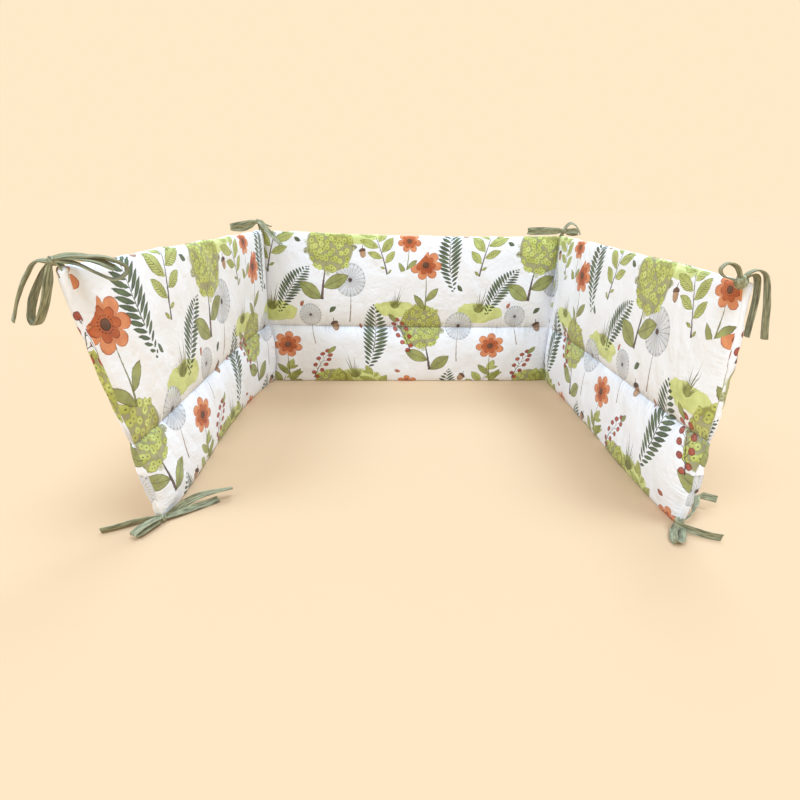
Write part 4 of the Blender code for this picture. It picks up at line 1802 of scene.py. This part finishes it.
    def mesh(self, form: StripForm, map_name: str) -> Mesh:
        """Build the strip as one closed form.

        Args:
            form: Its middle surface.
            map_name: Name of the map that gives each point its place on the flat cloth, in metres.

        Returns:
            The mesh.
        """
        skin = Skin()
        relief = {side: self.puckers.relief(side, form, self.lower_rows) for side in Side}
        rings = [self.add_section(skin, form, relief, number) for number in range(len(form.along))]
        size = len(rings[0])
        for before, after in zip(rings, rings[1:]):
            for here in range(size):
                there = (here + 1) % size
                corners = (before[here], after[here], after[there], before[there])
                skin.add_face(corners, outer=here >= size // 2)
        self.close_end(skin, form, 0, rings[0])
        self.close_end(skin, form, -1, rings[-1])
        mesh = skin.mesh(STRIP_NODE)
        self.add_maps(mesh, skin, form, map_name)
        return mesh

    def build(self, form: StripForm, cotton: Material, map_name: str) -> Object:
        """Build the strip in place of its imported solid.

        Args:
            form: Its middle surface.
            cotton: The printed cotton.
            map_name: Name of the cloth's flat map.

        Returns:
            The strip.
        """
        mesh = self.mesh(form, map_name)
        smooth_over(mesh, SMOOTH_ANGLE)
        piece = put_piece("padded_strip", mesh, cotton)
        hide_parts(STRIP_NODE)
        return piece

    def stitch_lines(self, form: StripForm) -> dict[str, list[Array]]:
        """Find the lines of points along which the sewing thread runs, on both faces.

        Args:
            form: The strip's middle surface.

        Returns:
            For each kind of seam, its lines of points.
        """
        turn = form.columns.turn
        folds = np.flatnonzero((turn > 0.5) & (turn < 0.5 + 1.0 / self.fold_sections))
        lines: dict[str, list[Array]] = {"channel_seam": [], "fold_seams": []}
        for side in Side:
            face = form.face(side, self.thread_sink)
            lines["channel_seam"].append(face[self.lower_rows])
            lines["fold_seams"].extend(face[self.thread_margin : -self.thread_margin, fold] for fold in folds)
        return lines


@dataclass(frozen=True)
class StitchRow:
    """Short stitches of thread, end to end along lines on the cloth."""

    length: float = 2.7 * MM
    gap: float = 0.6 * MM
    radius: float = 0.26 * MM
    sides: int = 6
    # Shares of the way along a stitch, and its thickness there as a share of its middle's.
    profile: tuple[Pair, ...] = ((0.0, 0.35), (0.12, 0.85), (0.5, 1.0), (0.88, 0.85), (1.0, 0.35))

    def add_stitch(self, skin: Skin, start: Array, finish: Array) -> None:
        """Add one stitch.

        Args:
            skin: The stitches in the making.
            start: Where it comes out of the cloth.
            finish: Where it goes in again.
        """
        around = self.radius * circle(unit(finish - start), self.sides)
        rings = []
        for share, width in self.profile:
            rings.append(skin.add_ring(start * (1.0 - share) + finish * share + width * around))
        skin.add_tube(rings)
        skin.add_face(rings[0][::-1])
        skin.add_face(rings[-1])

    def build(self, name: str, lines: Sequence[Array], thread: Material) -> Object:
        """Build a seam's stitches.

        Args:
            name: Name of the piece.
            lines: Points of each line of stitches.
            thread: The thread's finish.

        Returns:
            The piece.
        """
        skin = Skin()
        for line in lines:
            for start in np.arange(self.gap, reaches(line)[-1] - self.length, self.length + self.gap):
                self.add_stitch(skin, *places_along(line, (start, start + self.length)))
        mesh = skin.mesh(name)
        smooth_over(mesh, SMOOTH_ANGLE)
        return put_piece(name, mesh, thread)


# ---- The ribbon bows ----


@dataclass(frozen=True)
class Run:
    """One free stretch of a ribbon, from its knot. Places are in mm from the knot's centre."""

    route: tuple[Triple, ...]
    broad: tuple[Triple, ...]  # direction across the ribbon, at even steps along it
    end: RunEnd = RunEnd.TAIL
    gather_reach: float = 15.0  # how far from the knot it is drawn together, in mm


@dataclass(frozen=True)
class Bow:
    """A ribbon tied in a bow: its node, its knot's centre in mm in the posts' frame, and its runs."""

    node: str
    knot: Triple
    wrap: Triple  # axis of the turn of ribbon round the knot
    runs: tuple[Run, ...]
    on_ground: bool = False
    knot_scale: float = 1.0


ALONG_DEPTH = (0.1, 0.99, 0.0)
UPRIGHT = (0.0, 0.0, 1.0)
TILTED = (0.0, 0.88, 0.47)
SIDEWAYS = (1.0, 0.0, 0.0)

LEFT_FRONT_TOP_RUNS = (
    Run(((0, 0, 0), (4, 1, -3), (6, 2, -7)), (ALONG_DEPTH,)),
    Run(
        ((0, 0, 0), (-10, -6, 0), (-21, -9, -11), (-32, -11, -27), (-44, -12, -48)),
        ((-0.05, 0.99, 0.1), (-0.50, 0.85, -0.15)),
    ),
    Run(
        (
            (0, 0, 0), (-12, 2, -9), (-28, 3, -29), (-36, 1, -45), (-32, -3, -53), (-22, -6, -46),
            (-9, -6, -24), (-1, -2, -2),
        ),
        ((0.2, 0.97, 0.0),),
        RunEnd.LOOP,
    ),
    Run(
        (
            (0, 0, 0), (12, 4, 2), (27, 10, 3), (42, 16, 0), (53, 20, -8), (41, 16, -16), (29, 10, -10),
            (18, 4, -2), (3, 0, 1),
        ),
        ((-0.36, 0.92, 0.05), (-0.40, 0.90, -0.05)),
        RunEnd.LOOP,
    ),
    Run(
        ((0, 0, 1), (12, 3, 3), (24, 6, 2), (34, 10, -1), (44, 14, -7)),
        ((-0.25, 0.85, 0.45), (-0.20, 0.82, 0.50)),
    ),
)

LEFT_BACK_TOP_RUNS = (
    Run(((0, 0, 0), (4, 0, -8), (6, 0, -16)), (SIDEWAYS,)),
    Run(
        (
            (0, 0, 0), (-13, 4, -2), (-31, 8, -5), (-48, 9, -8), (-54, 3, -10), (-44, -4, -12),
            (-25, -4, -11), (-3, -1, -1),
        ),
        (UPRIGHT,),
        RunEnd.LOOP,
    ),
    Run(((0, 0, 0), (9, -11, -2), (24, -21, -17), (45, -26, -38)), ((0.7, 0.2, 0.7), (0.3, 0.88, 0.35))),
    Run(((0, 0, 0), (12, -5, -3), (25, -12, -7)), (ALONG_DEPTH,)),
)

RIGHT_BACK_TOP_RUNS = (
    Run(((0, 0, 0), (-3, 0, -5), (-5, 0, -12)), (SIDEWAYS,)),
    Run(
        (
            (0, 0, 0), (-17, 8, 0), (-45, 13, 0), (-66, 12, -1), (-72, 8, -3), (-62, 5, -4), (-30, 3, -3),
            (-3, 1, -1),
        ),
        (UPRIGHT,),
        RunEnd.LOOP,
    ),
    Run(
        ((0, 0, 0), (4, 0, 8), (12, 0, 13), (22, -2, 9), (29, -4, 0), (32, -5, -7)),
        ((-0.2, 0.90, 0.35), (0.1, 0.90, 0.42), (0.45, 0.88, 0.15)),
        gather_reach=5.0,
    ),
    Run(
        ((0, 0, 0), (8, -3, -1), (17, -6, 0), (25, -8, -1), (26, -5, -3), (17, -2, -4), (3, 0, -2)),
        ((0.0, 0.2, 0.98),),
        RunEnd.LOOP, gather_reach=8.0,
    ),
)

RIGHT_FRONT_TOP_RUNS = (
    Run(((0, 0, 0), (3, 1, -1), (5, 2, -3)), (ALONG_DEPTH,)),
    Run(
        ((0, 0, 0), (-9, 1, 2), (-19, 2, 5), (-23, 3, 11), (-18, 2, 16), (-10, 0, 13), (-3, -1, 4)),
        ((0.3, 0.95, 0.0),),
        RunEnd.LOOP,
    ),
    Run(
        ((0, 0, 0), (5, -1, 8), (12, -2, 11), (19, -5, 7), (23, -7, -3), (28, -9, -20), (38, -12, -53)),
        ((0.3, 0.95, 0.0), (-0.1, 0.99, 0.0)),
    ),
    Run(((0, 0, 0), (11, 3, 6), (21, 6, 0), (27, 7, -20), (33, 7, -55)), ((0.0, 1.0, 0.0),)),
)

LEFT_FRONT_FOOT_RUNS = (
    Run(((0, 0, 0), (-2, 3, 1), (-4, 6, 3)), (UPRIGHT,)),
    Run(
        ((0, 0, 1), (-13, -3, 1), (-29, -7, 0), (-45, -16, -0.5), (-64, -25, -0.5)),
        ((0.0, -0.33, 0.94),),
        gather_reach=6.0,
    ),
    Run(
        ((0, 0, 2), (-8, -15, 5), (-15, -29, 5), (-19, -38, 3), (-17, -34, 0), (-9, -18, 0), (-2, -4, 0)),
        ((0.83, -0.54, -0.08),),
        RunEnd.LOOP, gather_reach=5.0,
    ),
    Run(
        ((0, 0, 0), (8, 11, 2), (17, 23, 5), (31, 35, 8), (51, 45, 10), (74, 54, 10)),
        (UPRIGHT, (-0.2, 0.88, -0.3)),
    ),
    Run(((0, 0, 0), (13, 11, 0), (28, 23, -1), (42, 35, -2), (55, 46, -2)), (TILTED, (-0.5, 0.7, 0.5))),
)

RIGHT_FRONT_FOOT_RUNS = (
    Run(((0, 0, 0), (2, 4, 1), (3, 8, 3)), (UPRIGHT,)),
    Run(
        ((0, 0, 1), (-11, -6, 4), (-16, -13, 5), (-9, -20, 4), (11, -29, 1), (32, -37, -1)),
        ((0.1, 0.5, 0.8), (0.05, 0.05, 1.0), (0.05, 0.0, 1.0)),
        gather_reach=6.0,
    ),
    Run(
        ((0, 0, 0), (-12, -10, 0), (-24, -26, 0), (-30, -39, 0), (-27, -44, 0), (-19, -36, 0), (-5, -8, 0)),
        ((0.33, -0.77, 0.54),),
        RunEnd.LOOP,
    ),
    Run(
        (
            (0, 0, 0), (9, 3, 3), (19, 10, 7), (28, 21, 11), (35, 33, 14), (43, 37, 15), (54, 35, 13),
            (65, 32, 11),
        ),
        (
            (0.05, -0.52, 0.86), (0.05, -0.52, 0.86), (0.05, -0.52, 0.86), (0.80, -0.50, 0.25),
            (0.80, -0.50, 0.25), (0.1, 0.6, 0.8), (0.1, 0.6, 0.8),
        ),
    ),
)

BOWS = (
    Bow("tie_left_front_top", (-348, -306, 301), (0.9, 0.1, 0.4), LEFT_FRONT_TOP_RUNS, knot_scale=0.85),
    Bow("tie_left_back_top", (-296, 280, 313), (0.8, 0.2, 0.5), LEFT_BACK_TOP_RUNS),
    Bow("tie_right_back_top", (312, 287, 308), (0.9, 0.1, 0.3), RIGHT_BACK_TOP_RUNS),
    Bow("tie_right_front_top", (297, -291, 290), (0.9, 0.2, 0.3), RIGHT_FRONT_TOP_RUNS, knot_scale=1.45),
    Bow("tie_left_front_foot", (-340, -274, 5), (0.8, 0.6, 0.0), LEFT_FRONT_FOOT_RUNS, on_ground=True),
    Bow(
        "tie_right_front_foot",
        (324, -301, 5),
        (0.7, -0.7, 0.0),
        RIGHT_FRONT_FOOT_RUNS,
        on_ground=True,
        knot_scale=0.85,
    ),
)


@dataclass(frozen=True)
class RibbonMaker:
    """Sizes of the folded ribbon, and the making of one bow from it."""

    width: float = 9.6 * MM
    thickness: float = 1.5 * MM
    step: float = 1.3 * MM
    section_points: int = 9
    edge_square: int = 8  # how square the section's edges are
    sewn_edge: tuple[Pair, ...] = ((-0.985, 0.75), (-0.93, 0.0), (-0.985, -0.75))
    folded_edge: tuple[Pair, ...] = ((1.0, -0.75), (1.04, 0.0), (1.0, 0.75))
    gathered: float = 0.42  # width inside the knot, as a share of the ribbon's width
    gather_power: float = 1.5
    gather_thicker: float = 0.35
    gather_cup: float = 0.55
    cup: float = 0.12  # how far its edges curl
    curl: float = 0.08  # how much that varies
    cup_level: float = 0.4  # keeps the curled ribbon on its route
    curl_pitch: float = 14.0 * MM
    curl_seed: int = 200
    sway: float = 0.10  # how far it turns to one side and the other
    sway_pitch: float = 22.0 * MM
    sway_seed: int = 300
    crease: float = 0.26  # how far the ribbon is bent along its pressed crease
    crease_place: float = 0.2  # of half the width, off its middle
    crease_level: float = 0.5  # keeps the creased ribbon on its route
    ground_gap: float = 0.3 * MM
    curve_parts: int = 24
    knot_length: float = 9.0 * MM
    knot_width: float = 8.4 * MM
    knot_turns: int = 36
    knot_bands: int = 15
    knot_creases: float = 5.0
    knot_twist: float = 4.0  # of the creases, from one end to the other
    knot_crease_depth: float = 0.15
    wound_height: float = 0.10
    wound_half_width: float = 0.42

    def smooth_route(self, route: Sequence[Triple]) -> Array:
        """Set even places on a smooth curve through a run's places.

        Args:
            route: Places that the curve passes, in mm.

        Returns:
            One row for each place, in metres.
        """
        through = np.array(route, float) * MM
        through = np.vstack([2.0 * through[0] - through[1], through, 2.0 * through[-1] - through[-2]])
        part = np.arange(self.curve_parts)[:, None] / self.curve_parts
        pieces = []
        for before, start, end, after in zip(through, through[1:], through[2:], through[3:]):
            square = 2.0 * before - 5.0 * start + 4.0 * end - after
            cube = 3.0 * start - before - 3.0 * end + after
            pieces.append(0.5 * (2.0 * start + (end - before) * part + square * part**2 + cube * part**3))
        fine = np.vstack([*pieces, through[-2]])
        length = reaches(fine)[-1]
        return places_along(fine, np.linspace(0.0, length, max(3, round(length / self.step) + 1)))

    def section(self) -> Array:
        """Draw the ribbon's section. Its folded edge is round, and its sewn edge shows a groove.

        Returns:
            Places across and through the ribbon, as shares of its half width and thickness.
        """
        across = np.cos(np.linspace(0.0, np.pi, self.section_points))[1:-1]
        top = [(place, math.sqrt(1.0 - abs(place) ** self.edge_square)) for place in across]
        under = [(place, -depth) for place, depth in reversed(top)]
        return np.array([self.folded_edge[-1], *top, *self.sewn_edge, *under, *self.folded_edge[:-1]])

    def add_run(self, skin: Skin, bow: Bow, number: int, knot: Array, start: float) -> float:
        """Add one run of ribbon to a bow.

        Args:
            skin: The bow in the making.
            bow: The bow.
            number: Which of its runs.
            knot: The knot's centre.
            start: Length of ribbon already used.

        Returns:
            Length of ribbon used after this run.
        """
        run = bow.runs[number]
        places = self.smooth_route(run.route)
        lengths = reaches(places)
        draw = number + 10 * len(bow.node)
        curl = Unevenness(self.curl_seed + draw, self.curl_pitch).at(lengths)[:, None]
        sway = Unevenness(self.sway_seed + draw, self.sway_pitch).at(lengths)[:, None]
        along = unit(np.gradient(places, axis=0))
        shares, steps = np.linspace(0.0, 1.0, len(places)), np.linspace(0.0, 1.0, len(run.broad))
        broad = np.column_stack([np.interp(shares, steps, parts) for parts in np.array(run.broad).T])
        broad = unit(broad - (broad * along).sum(axis=1, keepdims=True) * along)
        broad = unit(broad + self.sway * sway * np.cross(along, broad))
        depth = np.cross(along, broad)
        from_knot = np.minimum(lengths, lengths[-1] - lengths) if run.end is RunEnd.LOOP else lengths
        gather = np.maximum(0.0, 1.0 - from_knot[:, None] / (run.gather_reach * MM)) ** self.gather_power
        half_width = 0.5 * self.width * (1.0 - (1.0 - self.gathered) * gather)
        half_thick = 0.5 * self.thickness * (1.0 + self.gather_thicker * gather)
        cup = self.cup + self.curl * curl + self.gather_cup * gather
        spread, through = self.section().T
        lifted = through * half_thick + cup * half_width * (spread**2 - self.cup_level)
        bent = self.crease * (0.5 + 0.5 * curl) * half_width
        lifted += bent * (np.abs(spread - self.crease_place) - self.crease_level)
        places = (knot + places)[:, None] + (spread * half_width)[..., None] * broad[:, None]
        places = places + lifted[..., None] * depth[:, None]
        if bow.on_ground:
            places[..., 2] += np.maximum(0.0, self.ground_gap - places[..., 2].min(axis=1, keepdims=True))
        flat_across = 0.5 * self.width * (spread + 1.0)
        rings = []
        for ring, length in zip(places, start + lengths):
            rings.append(skin.add_ring(ring, [(across, length) for across in flat_across]))
        skin.add_tube(rings)
        skin.add_face(rings[0])
        skin.add_face(rings[-1])
        return start + float(lengths[-1])

    def add_knot(self, skin: Skin, bow: Bow, knot: Array) -> float:
        """Add the knot: a creased core and one turn of ribbon wound round it.

        Args:
            skin: The bow in the making.
            bow: The bow.
            knot: The knot's centre.

        Returns:
            Length of ribbon used.
        """
        axis = unit(np.array(bow.wrap))
        around = circle(axis, self.knot_turns)
        turn = math.tau * np.arange(self.knot_turns) / self.knot_turns
        half_length, radius = 0.5 * self.knot_length * bow.knot_scale, 0.5 * self.knot_width * bow.knot_scale
        used, across = math.pi * self.knot_width, self.width / self.knot_bands
        rings = []
        for band in range(self.knot_bands):
            lean = math.pi * (band + 0.5) / self.knot_bands
            crease = np.sin(self.knot_creases * turn + self.knot_twist * math.cos(lean)) * math.sin(lean)
            wound = math.exp(-(((lean - 0.5 * math.pi) / self.wound_half_width) ** 4))
            swell = (1.0 + self.knot_crease_depth * crease) * (1.0 + self.wound_height * wound)
            places = knot + axis * half_length * math.cos(lean)
            places = places + (radius * math.sin(lean) * swell)[:, None] * around
            if bow.on_ground:
                places[:, 2] = np.maximum(places[:, 2], self.ground_gap)
            rings.append(skin.add_ring(places))
        for band in range(self.knot_bands - 1):
            for step in range(self.knot_turns):
                corners = ((band, step), (band, step + 1), (band + 1, step + 1), (band + 1, step))
                numbers = [rings[ring][place % self.knot_turns] for ring, place in corners]
                spots = [(across * ring, used * place / self.knot_turns) for ring, place in corners]
                skin.add_face(numbers, spots)
        for ring in (rings[0], rings[-1]):
            skin.add_face(ring, [(0.5 * self.width, 0.0)] * self.knot_turns)
        return used

    def build(self, bow: Bow, shift: Array, ribbon: Material, map_name: str) -> Object:
        """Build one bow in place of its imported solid.

        Args:
            bow: The bow.
            shift: Plan shift from the posts' frame to the part's.
            ribbon: The ribbon's cloth.
            map_name: Name of the ribbon's flat map.

        Returns:
            The bow.
        """
        skin = Skin()
        knot = np.array(bow.knot) * MM + np.array([*shift, 0.0])
        used = self.add_knot(skin, bow, knot)
        for number in range(len(bow.runs)):
            used = self.add_run(skin, bow, number, knot, used)
        mesh = skin.mesh(bow.node)
        add_map(mesh, map_name, skin.spots)
        turn_outward(mesh)
        smooth_over(mesh, RIBBON_SMOOTH_ANGLE)
        piece = put_piece(bow.node.replace("tie", "bow"), mesh, ribbon)
        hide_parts(bow.node)
        return piece


# ---- The stage, the lights and the camera ----


@dataclass(frozen=True)
class SoftLight:
    """A broad, even light from one direction."""

    name: str
    towards: Triple
    strength: float
    spread: float  # degrees
    tint: Colour = (0.615, 0.788, 1.0)

    def build(self) -> None:
        """Add the light."""
        data = bpy.data.lights.new(self.name, "SUN")
        data.energy, data.color, data.angle = self.strength, self.tint, math.radians(self.spread)
        lamp = put_in_scene(self.name, data)
        lamp.rotation_euler = (-Vector(self.towards)).to_track_quat("-Z", "Y").to_euler()


@dataclass(frozen=True)
class Sky:
    """A soft sky: as warm as the floor near the horizon, and paler higher up."""

    low: Colour = (1.0, 0.825, 0.58)
    high: Colour = (0.80, 0.86, 0.95)
    change: Pair = (0.31, 0.53)  # as shares of straight up

    def build(self) -> None:
        """Light the scene with the sky."""
        world = bpy.data.worlds.new("soft_sky")
        bpy.context.scene.world = world
        world.use_nodes = True
        chart = NodeChart(world.node_tree)
        height = chart.parts(chart.reading("TexCoord", output="Generated"))[2]
        colour = chart.blend(height.share(*self.change), self.low, self.high)
        chart.fill(world.node_tree.nodes["Background"].inputs["Color"], colour)


@dataclass(frozen=True)
class Floor:
    """A wide, round, plain floor."""

    rings: tuple[float, ...] = (0.8, 2.5, 8.0, 40.0)
    corners: int = 96

    def build(self, paint: Material) -> Object:
        """Build the floor.

        Args:
            paint: Its finish.

        Returns:
            The floor.
        """
        skin = Skin()
        middle = skin.add_point(np.zeros(3), (0.0, 0.0))
        around = circle(np.array([0.0, 0.0, 1.0]), self.corners)
        rings = [skin.add_ring(radius * around) for radius in self.rings]
        for here in range(self.corners):
            skin.add_face((middle, rings[0][here], rings[0][(here + 1) % self.corners]))
        skin.add_tube(rings[::-1])
        mesh = skin.mesh("pale_floor")
        mesh.shade_smooth()
        mesh.materials.append(paint)
        floor = put_in_scene("pale_floor", mesh)
        return floor


@dataclass(frozen=True)
class PhotoCamera:
    """The camera at the photo's viewpoint, in the posts' frame."""

    eye: Triple = (-0.0626, -0.7770, 0.3510)
    right: Triple = (0.99797, -0.06041, 0.02038)
    up: Triple = (0.01430, 0.52362, 0.85183)
    forward: Triple = (0.06213, 0.84981, -0.52341)
    lens: float = 21.08
    sensor: float = 36.0
    centre_shift: Pair = (-0.015, 0.1125)
    clip: Pair = (0.01, 50.0)

    def build(self, shift: Array) -> None:
        """Stand the camera in the scene.

        Args:
            shift: Plan shift from the posts' frame to the part's.
        """
        data = bpy.data.cameras.new("photo_camera")
        data.lens, data.sensor_width, data.sensor_fit = self.lens, self.sensor, "HORIZONTAL"
        data.shift_x, data.shift_y = self.centre_shift
        data.clip_start, data.clip_end = self.clip
        camera = put_in_scene("photo_camera", data)
        back = tuple(-part for part in self.forward)
        turned = Matrix((self.right, self.up, back)).transposed().to_4x4()
        camera.matrix_world = Matrix.Translation(Vector(self.eye) + Vector((*shift, 0.0))) @ turned
        bpy.context.scene.camera = camera


LIGHTS = (
    SoftLight("left_light", (-0.50, -0.34, 0.80), 2.0, 26.0),
    SoftLight("right_light", (0.40, -0.12, 0.90), 2.05, 26.0),
    SoftLight("back_light", (0.20, 0.52, 0.80), 1.4, 24.0),
)


def clear_scene() -> None:
    """Remove what Blender starts with."""
    for thing in list(bpy.data.objects):
        bpy.data.objects.remove(thing, do_unlink=True)


def report(piece: Object) -> None:
    """Log a piece's name and number of faces."""
    LOG.info("%s: %d faces", piece.name, len(piece.data.polygons))


def main() -> None:
    """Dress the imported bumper."""
    logging.basicConfig(level=logging.INFO, format="%(name)s: %(message)s")
    clear_scene()
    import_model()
    bpy.context.scene.view_settings.view_transform = "Standard"

    cotton, strip = PrintedCotton(), QuiltedStrip()
    form, shift = strip.form(), strip.plan_shift()
    report(strip.build(form, cotton.material(), cotton.map_name))
    thread = SewingThread().material()
    for name, lines in strip.stitch_lines(form).items():
        report(StitchRow().build(f"{name}_stitches", lines, thread))

    ribbon, maker = FoldedRibbonCloth(), RibbonMaker()
    ribbon_material = ribbon.material()
    for bow in BOWS:
        report(maker.build(bow, shift, ribbon_material, ribbon.map_name))

    report(Floor().build(PalePaint().material()))
    Sky().build()
    for light in LIGHTS:
        light.build()
    PhotoCamera().build(shift)


if __name__ == "__main__":
    main()
